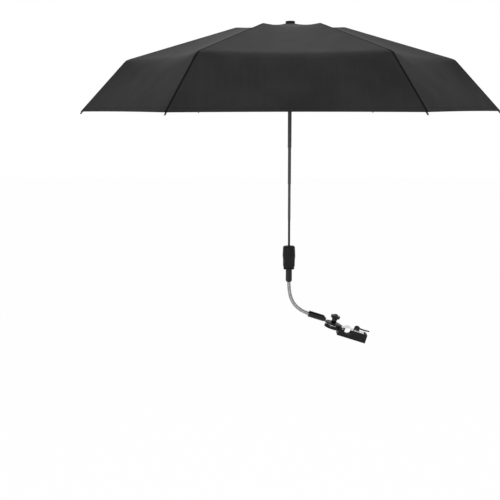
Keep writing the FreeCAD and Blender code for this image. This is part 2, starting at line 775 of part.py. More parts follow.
def make_shaft(model, mast, seat):
    """Make the four tubes of the telescopic shaft, each sliding over the one below."""
    s = model.sizes
    second = s.low_tube_radius + s.tube_step
    third = second + s.tube_step
    tubes = [
        ("shaft_tube_4", s.low_tube_radius, None, seat, mast.step_one + s.tube_overlap),
        ("shaft_tube_3", second, s.low_tube_radius, mast.step_one, mast.step_two + s.tube_overlap),
        ("shaft_tube_2", third, second, mast.step_two, mast.step_three + s.tube_overlap),
        ("shaft_tube_1", s.top_tube_radius, third, mast.step_three, mast.crown_top),
    ]
    for label, radius, inner, low, high in tubes:
        solid = model.rod(radius, high - low, (0, 0, low))
        if inner:
            bore = model.rod(inner + s.running_gap, high - low + s.overrun * 2, (0, 0, low - s.overrun))
            solid = model.less(solid, [bore])
        model.node(label, [solid], mast.place)


def spokes(model, size, at):
    """Make one block for each rib, turned about the shaft."""
    count = int(number(model.sizes.rib_count))
    blocks = []
    for index in range(count):
        block = model.bind(model.doc.addObject("Part::Box", "Spoke"),
                           Length=size[0], Width=size[1], Height=size[2])
        turn = Rotation(Z_AXIS, PER_TURN * index / count)
        block.Placement = Placement(turn.multVec(vector(at)), turn)
        blocks.append(block)
    return blocks


def make_crown(model):
    """Make the notched crown, its ring wire, the cap and the six-sided canopy."""
    s = model.sizes
    mast = Mast(s)
    low = mast.crown_top - s.crown_height
    crown = model.turned("Crown", [
        (s.top_tube_radius, low), (s.crown_radius, low), (s.crown_radius, mast.crown_top),
        (s.top_tube_radius, mast.crown_top)])
    slots = spokes(model, (s.crown_radius, s.slot_width, s.crown_height + s.overrun * 2),
                   (s.slot_floor, -s.slot_width / 2, low - s.overrun))
    channel = model.ring(s.pivot_radius, s.ring_wire_radius + s.running_gap, (0, 0, mast.pivot))
    model.node("crown", [model.less(crown, slots + [channel])], mast.place)
    model.node("crown_ring", [model.ring(s.pivot_radius, s.ring_wire_radius, (0, 0, mast.pivot))], mast.place)

    cap_low = mast.hem + s.peak_rise + s.face_gap
    stem = s.low_tube_radius + s.tube_step * 2 - s.fit_gap
    rim_share = 0.45
    shoulder_shares = (0.78, 0.85)
    cap = model.turned("Cap", [
        (0, cap_low - s.cap_stem), (stem, cap_low - s.cap_stem), (stem, cap_low), (s.cap_radius, cap_low),
        (s.cap_radius, cap_low + s.cap_height * rim_share),
        (s.cap_radius * shoulder_shares[0], cap_low + s.cap_height * shoulder_shares[1]),
        (s.cap_radius * rim_share, cap_low + s.cap_height), (0, cap_low + s.cap_height)])
    model.node("top_cap", [cap], mast.place)

    rings = [(s.hem_radius, mast.hem), (s.bend_radius, mast.hem + s.bend_rise),
             (s.bump_radius, mast.hem + s.bump_rise), (s.peak_radius, mast.hem + s.peak_rise)]
    skins = []
    for drop in (0, s.cloth_thick):
        loft = model.doc.addObject("Part::Loft", "Skin")
        loft.Sections = [polygon(model, radius, rise - drop) for radius, rise in rings]
        loft.Solid = True
        loft.Ruled = True
        skins.append(loft)
    hole = model.rod(s.top_tube_radius, s.pivot_drop, (0, 0, mast.hem + s.peak_rise - s.pivot_drop / 2))
    model.node("canopy", [model.less(skins[0], [skins[1], hole])], mast.place)


def polygon(model, radius, rise):
    """Make one ring of the canopy, a corner on each rib."""
    thing = model.bind(model.doc.addObject("Part::RegularPolygon", "Hexagon"), Circumradius=radius)
    thing.Polygon = int(number(model.sizes.rib_count))
    return model.put(thing, (0, 0, rise))


class Linkage:
    """Points of one rib in its own plane: radius from the shaft, offset to the side, rise from the hem."""

    def __init__(self, s):
        drop = number(s.rib_drop)
        peak = flat(s.peak_radius, s.peak_rise)
        bump = flat(s.bump_radius, s.bump_rise)
        bend = flat(s.bend_radius, s.bend_rise)
        hem = flat(s.hem_radius, 0)
        self.pivot = flat(s.pivot_radius, s.peak_rise - s.pivot_drop)
        self.bump = bump + mitre(peak, bump, bend) * drop
        self.bend = bend + mitre(bump, bend, hem) * drop
        run = self.bend - self.bump
        self.joint = self.bump + run * ((number(s.rib_joint_radius) - self.bump.x) / run.x)
        way = (hem - bend).normalize()
        self.tip = hem + inward(way) * number(s.tip_drop) + way * number(s.tip_reach)
        self.tip_way = (self.tip - self.bend).normalize()
        arm = (self.bump - self.pivot).normalize()
        self.rivet = self.pivot + arm * number(s.stretcher_reach)
        fall = math.sqrt(number(s.stretcher_length) ** 2 - (self.rivet.x - self.pivot.x) ** 2)
        self.runner = Vector(self.pivot.x, 0, self.rivet.z - fall)


def flat(radius, rise):
    """Return a point of a rib's plane."""
    return Vector(number(radius), 0, number(rise))


def inward(way):
    """Return the direction square to an outward stretch, to the inside of the canopy."""
    return Vector(way.z, 0, -way.x)


def mitre(before, corner, after):
    """Return the shift of a corner that moves both of its stretches in by one."""
    first = inward((corner - before).normalize())
    second = inward((after - corner).normalize())
    return (first + second) / (1 + first.dot(second))


def aside(point, offset):
    """Return a point of a rib's plane moved to the side."""
    return Vector(point.x, number(offset), point.z)


def cross_rod(model, radius, point, start, end):
    """Make a pin square to a rib's plane, from one side offset to another."""
    thing = model.bind(model.doc.addObject("Part::Cylinder", "Pin"), Radius=radius, Height=end - start)
    thing.Placement = Placement(aside(point, start), Rotation(Z_AXIS, Y_AXIS))
    return thing


def make_ribs(model):
    """Make each rib's inner, mid and outer piece and its stretcher."""
    s = model.sizes
    mast = Mast(s)
    link = Linkage(s)
    count = int(number(s.rib_count))
    for index in range(count):
        turn = Rotation(Z_AXIS, PER_TURN * index / count)
        place = mast.place.multiply(Placement(vector((0, 0, mast.hem)), turn))
        make_inner(model, link, f"rib_inner_{index + 1}", place)
        make_mid(model, link, f"rib_mid_{index + 1}", place)
        make_outer(model, link, f"rib_outer_{index + 1}", place)
        make_stretcher(model, link, f"stretcher_{index + 1}", place)


def make_inner(model, link, label, place):
    """Make the inner rib: an eye on the crown ring, a bend at the bump and the first joint's pin."""
    s = model.sizes
    half = s.rib_width / 2
    far = s.mid_offset + s.mid_wire_radius + s.face_gap
    solid = [
        cross_rod(model, s.rib_eye_radius, link.pivot, -half, half),
        model.beam(s.rib_width, s.rib_height, link.pivot, link.bump),
        cross_rod(model, s.rib_height / 2, link.bump, -half, half),
        model.beam(s.rib_width, s.rib_height, link.bump, link.joint),
        cross_rod(model, s.rib_eye_radius, link.joint, -half, half),
        cross_rod(model, s.rib_pin_radius, link.joint, -half, far),
    ]
    eye = cross_rod(model, s.rib_eye_bore, link.pivot, -half - s.overrun, half + s.overrun)
    model.node(label, [model.less(model.join(solid), [eye])], place)


def make_mid(model, link, label, place):
    """Make the mid rib: a wire beside the rib's plane, an eye on one joint and the next joint's pin."""
    s = model.sizes
    near = s.mid_offset - s.mid_wire_radius - s.fit_gap
    far = s.mid_offset + s.mid_wire_radius + s.fit_gap
    solid = [
        cross_rod(model, s.rib_eye_radius, link.joint, near, far),
        model.wire(s.mid_wire_radius, aside(link.joint, s.mid_offset), aside(link.bend, s.mid_offset)),
        cross_rod(model, s.mid_boss_radius, link.bend, near, far),
        cross_rod(model, s.rib_pin_radius, link.bend, -s.outer_wire_radius - s.face_gap, far),
    ]
    eye = cross_rod(model, s.rib_pin_radius + s.running_gap, link.joint, near - s.overrun, far + s.overrun)
    model.node(label, [model.less(model.join(solid), [eye])], place)


def make_outer(model, link, label, place):
    """Make the outer rib: an eye on the second joint, a wire and the moulded tip pushed on its end."""
    s = model.sizes
    half = s.outer_wire_radius + s.fit_gap
    solid = [
        cross_rod(model, s.rib_eye_radius, link.bend, -half, half),
        model.wire(s.outer_wire_radius, link.bend, link.tip),
    ]
    eye = cross_rod(model, s.rib_pin_radius + s.running_gap, link.bend, -half - s.overrun, half + s.overrun)
    end = link.tip + link.tip_way * number(s.face_gap)
    start = end - link.tip_way * number(s.tip_length)
    tip = [model.wire(s.tip_radius, start, end), model.ball(s.tip_radius, (end.x, 0, end.z))]
    bore = model.wire(s.outer_wire_radius, start - link.tip_way * number(s.overrun), link.tip)
    model.node(label, [model.less(model.join(solid), [eye]), model.less(model.join(tip), [bore])], place)


def make_stretcher(model, link, label, place):
    """Make the stretcher: an eye on the runner ring, a side jog and a stub that laps the inner rib."""
    s = model.sizes
    thin = s.stretcher_wire_radius
    half = thin + s.fit_gap
    way = (link.rivet - link.runner).normalize()
    first = link.runner + way * number(s.jog_start)
    second = aside(link.runner + way * number(s.jog_end), -s.stretcher_offset)
    last = aside(link.rivet, -s.stretcher_offset)
    solid = [
        cross_rod(model, s.rib_eye_radius, link.runner, -half, half),
        model.wire(thin, link.runner, first),
        model.ball(thin, (first.x, 0, first.z)),
        model.wire(thin, first, second),
        model.ball(thin, (second.x, -s.stretcher_offset, second.z)),
        model.wire(thin, second, last),
        cross_rod(model, s.rib_eye_radius, link.rivet,
                  -s.stretcher_offset - half, -s.stretcher_offset + half),
        cross_rod(model, s.rib_pin_radius, link.rivet, -s.stretcher_offset, -s.rib_width / 2 - s.fit_gap),
    ]
    eye = cross_rod(model, s.rib_eye_bore, link.runner, -half - s.overrun, half + s.overrun)
    model.node(label, [model.less(model.join(solid), [eye])], place)


def make_runner(model):
    """Make the runner on the top tube, its ring wire and the catch button in its collar."""
    s = model.sizes
    mast = Mast(s)
    rise = Linkage(s).runner.z
    place = mast.place.multiply(Placement(vector((0, 0, number(mast.hem) + rise)), Rotation()))
    bore = s.top_tube_radius + s.running_gap
    top = s.runner_flange / 2
    collar = -top - s.runner_tube_length
    low = collar - s.collar_length
    body = model.turned("Runner", [
        (bore, low), (s.collar_radius, low), (s.collar_radius, collar), (s.runner_tube_radius, collar),
        (s.runner_tube_radius, -top), (s.crown_radius, -top), (s.crown_radius, top), (bore, top)])
    slots = spokes(model, (s.crown_radius, s.slot_width, s.runner_flange + s.overrun * 2),
                   (s.slot_floor, -s.slot_width / 2, -top - s.overrun))
    channel = model.ring(s.pivot_radius, s.ring_wire_radius + s.running_gap, (0, 0, 0))
    wide = s.button_width + s.fit_gap * 2
    tall = s.button_height + s.fit_gap * 2
    pocket_low = low + (s.collar_length - tall) / 2
    pocket = model.block((wide, s.collar_radius, tall),
                         (-wide / 2, -s.button_pocket - s.collar_radius, pocket_low))
    model.node("runner", [model.less(body, slots + [channel, pocket])], place)
    model.node("runner_ring", [model.ring(s.pivot_radius, s.ring_wire_radius, (0, 0, 0))], place)
    button = model.block((s.button_width, s.button_outer - s.button_inner, s.button_height),
                         (-s.button_width / 2, -s.button_outer, pocket_low + s.fit_gap))
    model.node("runner_button", [button], place)


def main():
    """Build every sub-part and write its file."""
    model = Model()
    make_clamp(model)
    make_strap(model)
    make_lever(model)
    make_tilt(model)
    make_knob(model)
    make_neck(model)
    make_handle(model)
    make_crown(model)
    make_runner(model)
    make_ribs(model)
    model.write()


if __name__ == "__main__":
    main()
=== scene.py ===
import json
import logging
import math
from dataclasses import dataclass, field, replace
from enum import Enum
from typing import Optional, Sequence, Union

import bmesh
import bpy
import numpy as np
from mathutils import Matrix, Vector


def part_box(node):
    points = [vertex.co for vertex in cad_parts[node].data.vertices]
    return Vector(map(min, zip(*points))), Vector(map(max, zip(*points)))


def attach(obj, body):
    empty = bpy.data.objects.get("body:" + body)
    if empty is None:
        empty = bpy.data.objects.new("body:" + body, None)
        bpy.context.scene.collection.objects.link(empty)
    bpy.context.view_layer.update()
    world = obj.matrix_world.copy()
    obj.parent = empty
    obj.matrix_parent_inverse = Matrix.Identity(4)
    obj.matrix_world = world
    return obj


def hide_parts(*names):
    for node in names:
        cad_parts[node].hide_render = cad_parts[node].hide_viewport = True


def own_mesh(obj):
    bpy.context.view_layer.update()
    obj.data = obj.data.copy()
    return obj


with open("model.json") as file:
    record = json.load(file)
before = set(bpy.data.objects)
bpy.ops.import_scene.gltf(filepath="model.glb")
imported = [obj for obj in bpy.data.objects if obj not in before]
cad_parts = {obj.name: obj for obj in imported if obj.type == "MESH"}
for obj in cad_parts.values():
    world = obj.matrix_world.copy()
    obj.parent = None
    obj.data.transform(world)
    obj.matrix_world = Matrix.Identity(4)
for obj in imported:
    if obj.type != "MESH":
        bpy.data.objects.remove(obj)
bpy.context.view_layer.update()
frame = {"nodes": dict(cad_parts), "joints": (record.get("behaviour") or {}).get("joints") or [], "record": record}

log = logging.getLogger("parasol")

Colour = tuple[float, float, float]
TURN = 2.0 * math.pi
MM = 0.001
UP = np.array([0.0, 0.0, 1.0])
RIGHT = np.array([1.0, 0.0, 0.0])


class Math(Enum):
    """The shader sums that a socket can be asked for."""

    ADD = "ADD"
    SUBTRACT = "SUBTRACT"
    MULTIPLY = "MULTIPLY"
    DIVIDE = "DIVIDE"
    SINE = "SINE"
    FRACTION = "FRACT"
    ABSOLUTE = "ABSOLUTE"
    LESS = "LESS_THAN"
    MAXIMUM = "MAXIMUM"


class Socket:
    """One output of a shader node, on which arithmetic adds further nodes."""

    def __init__(self, graph: "Graph", output: bpy.types.NodeSocket) -> None:
        """Keeps the graph that the output belongs to, and the output."""
        self.graph = graph
        self.output = output

    def _sum(self, kind: Math, *values: "Value") -> "Socket":
        """Adds the Math node of that kind, with its inputs in order, and returns its result."""
        return self.graph.node("ShaderNodeMath", {"operation": kind.value}, dict(enumerate(values)))

    def __add__(self, other: "Value") -> "Socket":
        return self._sum(Math.ADD, self, other)

    def __radd__(self, other: "Value") -> "Socket":
        return self._sum(Math.ADD, other, self)

    def __sub__(self, other: "Value") -> "Socket":
        return self._sum(Math.SUBTRACT, self, other)

    def __mul__(self, other: "Value") -> "Socket":
        return self._sum(Math.MULTIPLY, self, other)

    def __truediv__(self, other: "Value") -> "Socket":
        return self._sum(Math.DIVIDE, self, other)

    def __lt__(self, other: "Value") -> "Socket":
        return self._sum(Math.LESS, self, other)

    def sine(self) -> "Socket":
        """Returns the sine of this value, in radians."""
        return self._sum(Math.SINE, self)

    def fraction(self) -> "Socket":
        """Returns what is left of this value after its whole part."""
        return self._sum(Math.FRACTION, self)

    def size(self) -> "Socket":
        """Returns this value without its sign."""
        return self._sum(Math.ABSOLUTE, self)

    def larger(self, other: "Value") -> "Socket":
        """Returns the larger of this value and another."""
        return self._sum(Math.MAXIMUM, self, other)

    def ramp(self, low: float, high: float) -> "Socket":
        """Returns 0 below low, 1 above high, and a smooth step between; low may be the larger."""
        return self.graph.node(
            "ShaderNodeMapRange",
            {"interpolation_type": "SMOOTHSTEP"},
            {"Value": self, "From Min": low, "From Max": high},
        )

    def between(self, first: "Tone", second: "Tone") -> "Socket":
        """Returns a colour that goes from first at 0 to second at 1."""
        ends = [tone if isinstance(tone, Socket) else (*tone, 1.0) for tone in (first, second)]
        return self.graph.node(
            "ShaderNodeMix", {"data_type": "RGBA"}, {"Factor": self, "A": ends[0], "B": ends[1]}, "Result"
        )


Value = Union[Socket, float, Sequence[float]]
Tone = Union[Socket, Colour]


class Graph:
    """The node tree of a material or a world, and the nodes that are added to it."""

    def __init__(self, owner: Union[bpy.types.Material, bpy.types.World]) -> None:
        """Turns the owner's nodes on and keeps its tree."""
        owner.use_nodes = True
        self.owner = owner
        self.tree = owner.node_tree

    @classmethod
    def named(cls, name: str) -> "Graph":
        """Returns the graph of a new material, which starts with one Principled shader."""
        return cls(bpy.data.materials.new(name))

    @property
    def shader(self) -> bpy.types.Node:
        """The material's Principled shader."""
        return self.tree.nodes["Principled BSDF"]

    def node(self, kind: str, settings: Optional[dict] = None, values: Optional[dict] = None,
             result: Union[int, str] = 0) -> Socket:
        """Adds any node.

        Args:
            kind: the node's type.
            settings: its properties, by name.
            values: constants or links of its inputs, by place or name.
            result: the output to hand back, by place or name.

        Returns:
            That output.
        """
        made = self.tree.nodes.new(kind)
        for name, setting in (settings or {}).items():
            setattr(made, name, setting)
        for name, value in (values or {}).items():
            self.feed(self._pick(made.inputs, name), value)
        return Socket(self, self._pick(made.outputs, result))

    @staticmethod
    def _pick(entries: Sequence[bpy.types.NodeSocket], name: Union[int, str]) -> bpy.types.NodeSocket:
        """Finds a node's input or output by place, or by name among those in use."""
        if isinstance(name, int):
            return entries[name]
        return next(entry for entry in entries if entry.name == name and entry.enabled)

    def feed(self, entry: bpy.types.NodeSocket, value: Value) -> None:
        """Links a socket to an input, or writes a constant on it."""
        if isinstance(value, Socket):
            self.tree.links.new(value.output, entry)
        else:
            entry.default_value = value

    def surface(self, **values: Value) -> bpy.types.Material:
        """Sets the Principled shader's inputs, named with underscores, and returns the material."""
        for name, value in values.items():
            entry = self.shader.inputs[name.replace("_", " ").title().replace("Ior", "IOR")]
            if entry.type == "RGBA" and not isinstance(value, Socket):
                value = (*value, 1.0)
            self.feed(entry, value)
        return self.owner

    def output(self, name: str, shader: Socket) -> None:
        """Links a shader to the surface of the output node of that name."""
        self.feed(self.tree.nodes[name].inputs["Surface"], shader)

    def place(self, stretch: Colour = (1.0, 1.0, 1.0)) -> Socket:
        """Returns the object's own coordinates in metres, each axis times its stretch."""
        here = self.node("ShaderNodeTexCoord", result="Object")
        return self.node("ShaderNodeMapping", values={"Vector": here, "Scale": stretch})

    def noise(self, scale: float, detail: float, at: Socket) -> Socket:
        """Returns cloudy values round one half, of the given scale per metre."""
        return self.node("ShaderNodeTexNoise", values={"Vector": at, "Scale": scale, "Detail": detail})

    def bump(self, height: Socket, distance: float, strength: float, ease: float = 0.0) -> Socket:
        """Returns a normal that follows a height.

        Args:
            height: the height, as a share of distance.
            distance: the height of 1, in metres.
            strength: how much of it shows.
            ease: radius over which edges look rounded, in metres; 0 leaves them.

        Returns:
            The normal.
        """
        values = {"Height": height, "Distance": distance, "Strength": strength}
        if ease:
            values["Normal"] = self.node("ShaderNodeBevel", {"samples": 6}, {"Radius": ease})
        return self.node("ShaderNodeBump", values=values)


@dataclass(frozen=True)
class Cloth:
    """Black woven polyester with sewn seams along the ribs and a turned hem, and painted shade along each seam.

    Attributes:
        name: the material's name.
        colour: the yarn in plain light.
        worn: the yarn where it is paler.
        thread_and_seam_shade: the yarn in a seam or a stitch.
        yarn: spacing of the weave, in metres.
        streaks: fineness of the streaks across and along the cloth, per metre.
        clouds: fineness of the paler clouds, per metre.
        pale: the values of the wear at which the cloth starts and ends to be pale.
        seam_width: half the width of the seam along a rib.
        hem_width: width of the turned hem.
        row: place of the stitches, as a share of the hem's width.
        stitch: length of one stitch and the space after it.
        thread: share of the stitch in that.
        depth: depth of the relief, in metres.
        rough: roughness of the cloth, least.
        seam_rough: roughness of a seam.
    """

    name: str = "canopy_cloth"
    colour: Colour = (0.032, 0.032, 0.033)
    worn: Colour = (0.045, 0.045, 0.046)
    thread_and_seam_shade: Colour = (0.004, 0.004, 0.005)
    yarn: float = 0.0008
    streaks: Colour = (140.0, 9.0, 1.0)
    clouds: float = 14.0
    pale: tuple[float, float] = (0.25, 0.77)
    seam_width: float = 0.0030
    hem_width: float = 0.0110
    row: float = 0.86
    stitch: float = 0.0046
    thread: float = 0.62
    depth: float = 0.0005
    rough: float = 0.62
    seam_rough: float = 0.95

    def material(self) -> bpy.types.Material:
        """Builds the weave from the cloth's own flat coordinates and the seam and hem distances."""
        graph = Graph.named(self.name)
        flat = graph.node("ShaderNodeUVMap", {"uv_map": "cloth"})
        across, along = (
            graph.node("ShaderNodeSeparateXYZ", values={"Vector": flat}, result=axis) for axis in "XY"
        )
        seam, hem = (
            graph.node("ShaderNodeAttribute", {"attribute_name": name}, result="Fac")
            for name in ("seam", "hem")
        )
        weave = (across * (TURN / self.yarn)).sine() * (along * (TURN / self.yarn)).sine()
        drawn = graph.node("ShaderNodeMapping", values={"Vector": flat, "Scale": self.streaks})
        streak = graph.noise(1.0, 3.0, drawn)
        cloud = graph.noise(self.clouds, 2.0, graph.place())
        felled = seam.ramp(self.seam_width, self.seam_width * 0.7)
        turned = hem.ramp(self.hem_width, self.hem_width * 0.96)
        stitches = (hem / self.hem_width - self.row).size() < 0.05
        thread = stitches * ((across / self.stitch).fraction() < self.thread)
        wear = streak * 0.25 + cloud * 0.75 + weave * 0.03
        plain = wear.ramp(*self.pale).between(self.colour, self.worn)
        # Painted shade: the band along each rib's seam is darkened to stand in for the shade beside the raised
        # seam; the hem's stitches are darkened by their real thread colour.
        seam_shade_and_thread_mask = (felled * 0.75).larger(thread * 0.45)
        height = weave * 0.06 + felled * 0.6 + turned * 0.5 - thread * 0.4 + streak * 0.25
        return graph.surface(
            base_color=seam_shade_and_thread_mask.between(plain, self.thread_and_seam_shade),
            roughness=(self.rough + streak * 0.14).larger(felled * self.seam_rough),
            normal=graph.bump(height, self.depth, 0.6),
            specular_ior_level=0.010,
            sheen_weight=0.05,
            sheen_roughness=0.45,
            sheen_tint=(0.75, 0.76, 0.80),
        )


@dataclass(frozen=True)
class Hard:
    """A finish with broad marks in its colour and fine ones in its bump.

    Attributes:
        name: the material's name.
        colour: its colour, or a metal's reflection, in plain light.
        rough: its roughness, on the whole.
        metallic: 1 for bare metal, less for paint over it.
        gloss: strength of its reflection.
        ease: radius over which edges look rounded; 0 for pieces that have their own.
        fine: fineness of the fine marks, per metre.
        depth: depth of the fine marks, in metres.
        firm: how much of that depth shows.
        stretch: how much finer the fine marks are along each axis.
        broad: fineness of the broad marks, per metre.
        dull: share of the colour that is left in a broad mark.
        swing: how far the marks change the roughness in all.
        brushed: whether the fine marks change the roughness, and not the broad ones.
    """

    name: str
    colour: Colour
    rough: float
    metallic: float = 0.0
    gloss: float = 0.25
    ease: float = 0.0
    fine: float = 900.0
    depth: float = 0.00004
    firm: float = 0.6
    stretch: Colour = (1.0, 1.0, 1.0)
    broad: float = 60.0
    dull: float = 0.82
    swing: float = 0.12
    brushed: bool = False

    def material(self) -> bpy.types.Material:
        """Builds the marks from two noises in the object's own coordinates."""
        graph = Graph.named(self.name)
        broad = graph.noise(self.broad, 3.0, graph.place())
        fine = graph.noise(self.fine, 2.0, graph.place(self.stretch))
        low = tuple(channel * self.dull for channel in self.colour)
        return graph.surface(
            base_color=broad.ramp(0.3, 0.7).between(low, self.colour),
            roughness=self.rough - self.swing / 2.0 + (fine if self.brushed else broad) * self.swing,
            metallic=self.metallic,
            specular_ior_level=self.gloss,
            normal=graph.bump(fine, self.depth, self.firm, self.ease),
        )


class Moulded(Hard):
    """A moulded plastic or rubber: faint flow marks, smooth or grained."""


@dataclass(frozen=True)
class Metal(Hard):
    """A bare or painted metal: brush marks over faint tarnish."""

    metallic: float = 1.0
    gloss: float = 0.3
    fine: float = 2600.0
    depth: float = 0.00001
    firm: float = 0.4
    stretch: Colour = (1.0, 1.0, 0.06)
    broad: float = 120.0
    dull: float = 0.88
    swing: float = 0.10
    brushed: bool = True


Finish = Union[Cloth, Hard]


def unit(vectors: np.ndarray) -> np.ndarray:
    """Returns the vectors along the last axis, each of length one."""
    return vectors / np.linalg.norm(vectors, axis=-1, keepdims=True)


def corners(node: str) -> tuple[np.ndarray, np.ndarray]:
    """Returns a CAD node's lowest and highest corner, in metres."""
    low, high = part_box(node)
    return np.array(low), np.array(high)


def joint(name: str) -> dict:
    """Returns the joint of that name from the frame."""
    return next(entry for entry in frame["joints"] if entry["name"] == name)


def where(name: str) -> np.ndarray:
    """Returns the place of a joint, in metres."""
    return np.array(joint(name)["pos_m"], float)


def angles(count: int) -> np.ndarray:
    """Returns that many even angles of one turn, in radians, from 0."""
    return np.arange(count) * (TURN / count)


def heading(angle: float) -> np.ndarray:
    """Returns the flat direction at an angle from the frame's X."""
    return np.array([math.cos(angle), math.sin(angle)])


def lengths(points: np.ndarray) -> np.ndarray:
    """Returns the length of a line of points up to each of them."""
    return np.concatenate([[0.0], np.cumsum(np.linalg.norm(np.diff(points, axis=0), axis=1))])


def on_line(at: np.ndarray, length: np.ndarray, points: np.ndarray) -> np.ndarray:
    """Returns places on a line of points, at the given lengths along it."""
    return np.stack([np.interp(at, length, column) for column in points.T], axis=1)


def vertices(mesh: bpy.types.Mesh) -> np.ndarray:
    """Returns the places of a mesh's vertices."""
    flat = np.empty(len(mesh.vertices) * 3)
    mesh.vertices.foreach_get("co", flat)
    return flat.reshape(-1, 3)


@dataclass(frozen=True)
class Place:
    """An origin with three square directions x, y and z, to set a shape into the shared frame."""

    origin: np.ndarray
    x: np.ndarray
    y: np.ndarray
    z: np.ndarray

    @classmethod
    def along(cls, origin: np.ndarray, axis: np.ndarray, side: np.ndarray) -> "Place":
        """Returns a place whose z is the axis and whose x is the part of side square to it."""
        z = unit(np.asarray(axis, float))
        x = unit(side - z * np.dot(side, z))
        return cls(np.asarray(origin, float), x, np.cross(z, x), z)

    def put(self, local: np.ndarray) -> np.ndarray:
        """Returns local points (…, 3) in the shared frame."""
        return self.origin + local @ np.stack([self.x, self.y, self.z])


def filleted(outline: Sequence[tuple[float, float, float]], steps: int = 8) -> np.ndarray:
    """Rounds the corners of an open outline.

    Each corner (a, b, radius) becomes an arc that touches both its sides: the arc starts and
    ends at radius / tan(half the corner's angle) from it.

    Args:
        outline: corners with the radius of each; 0 keeps a corner sharp.
        steps: points on each arc, less one.

    Returns:
        The outline's points, (n, 2).
    """
    points = [np.array(outline[0][:2], float)]
    for before, here, after in zip(outline, outline[1:], outline[2:]):
        at = np.array(here[:2], float)
        back = unit(np.array(before[:2], float) - at)
        on = unit(np.array(after[:2], float) - at)
        half = 0.5 * math.acos(float(np.clip(np.dot(back, on), -1.0, 1.0)))
        if here[2] <= 0.0 or half > 0.49 * math.pi:
            points.append(at)
            continue
        reach = here[2] / math.tan(half)
        middle = at + unit(back + on) * (here[2] / math.sin(half))
        first = at + back * reach - middle
        last = at + on * reach - middle
        swing = math.atan2(first[0] * last[1] - first[1] * last[0], float(np.dot(first, last)))
        turn = np.linspace(0.0, swing, steps + 1)[:, None]
        points.extend(middle + first * np.cos(turn) + np.array([-first[1], first[0]]) * np.sin(turn))
    points.append(np.array(outline[-1][:2], float))
    return np.array(points)


class Shape:
    """Grids of points that are gathered into one mesh."""

    def __init__(self) -> None:
        """Starts with no points."""
        self.points: list[np.ndarray] = []
        self.quads: list[np.ndarray] = []
        self.count = 0

    def grid(self, points: np.ndarray, wrap: bool = False, flip: bool = False) -> "Shape":
        """Adds a grid (rows, columns, 3) whose faces look to the side of columns × rows.

        Args:
            points: the grid's points.
            wrap: whether the last column joins the first.
            flip: whether the faces look to the other side.

        Returns:
            The shape itself.
        """
        rows, columns = points.shape[:2]
        row = np.arange(rows - 1)[:, None]
        column = np.arange(columns if wrap else columns - 1)[None, :]
        after = (column + 1) % columns
        loop = [row * columns + column, row * columns + after,
                (row + 1) * columns + after, (row + 1) * columns + column]
        quads = np.stack([part.ravel() for part in np.broadcast_arrays(*loop)], axis=1) + self.count
        self.quads.append(quads[:, ::-1] if flip else quads)
        self.points.append(points.reshape(-1, 3))
        self.count += rows * columns
        return self

    def turned(self, profile: np.ndarray, place: Place, segments: int = 72,
               dent: Union[float, np.ndarray] = 0.0) -> "Shape":
        """Turns a profile, drawn upwards on its outside, round the place's z.

        A point is origin + (radius − dent) · (cos · x + sin · y) + height · z.

        Args:
            profile: points (radius, height).
            place: where the profile stands.
            segments: points round the axis.
            dent: how far each point lies inside the profile, (rows, segments) where it changes.

        Returns:
            The shape itself.
        """
        angle = angles(segments)
        radius = np.broadcast_to(profile[:, :1] - dent, (len(profile), segments))
        height = np.broadcast_to(profile[:, 1:], radius.shape)
        local = np.stack([radius * np.cos(angle), radius * np.sin(angle), height], axis=-1)
        return self.grid(place.put(local), wrap=True)

    def object(self, name: str, look: bpy.types.Material, crease: float = 35.0) -> bpy.types.Object:
        """Makes the mesh, smooth but for edges sharper than crease.

        Args:
            name: the object's name.
            look: its material.
            crease: the angle in degrees over which an edge stays sharp.

        Returns:
            The object, at the origin.
        """
        mesh = bpy.data.meshes.new(name)
        mesh.from_pydata(np.concatenate(self.points).tolist(), [], np.concatenate(self.quads).tolist())
        work = bmesh.new()
        work.from_mesh(mesh)
        bmesh.ops.remove_doubles(work, verts=work.verts, dist=1e-7)
        work.to_mesh(mesh)
        work.free()
        mesh.shade_smooth()
        mesh.set_sharp_from_angle(angle=math.radians(crease))
        mesh.materials.append(look)
        made = bpy.data.objects.new(name, mesh)
        bpy.context.scene.collection.objects.link(made)
        return made


def settle(made: bpy.types.Object, body: str, stands_for: str = "") -> None:
    """Lets a piece ride on a body, and puts it in the place of a CAD node, if any."""
    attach(made, body)
    if stands_for:
        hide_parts(stands_for)


class Side(Enum):
    """The half of a panel before or after its rib, going round."""

    BEFORE = -1
    AFTER = 1


@dataclass(frozen=True)
class Gore:
    """A stretch of the canopy along one kind of rib piece.

    Attributes:
        body: start of the names of the bodies it rides on.
        start: its reach from the axis along the rib at its upper end.
        end: the same at its lower end.
        rows: points along it.
    """

    body: str
    start: float
    end: float
    rows: int


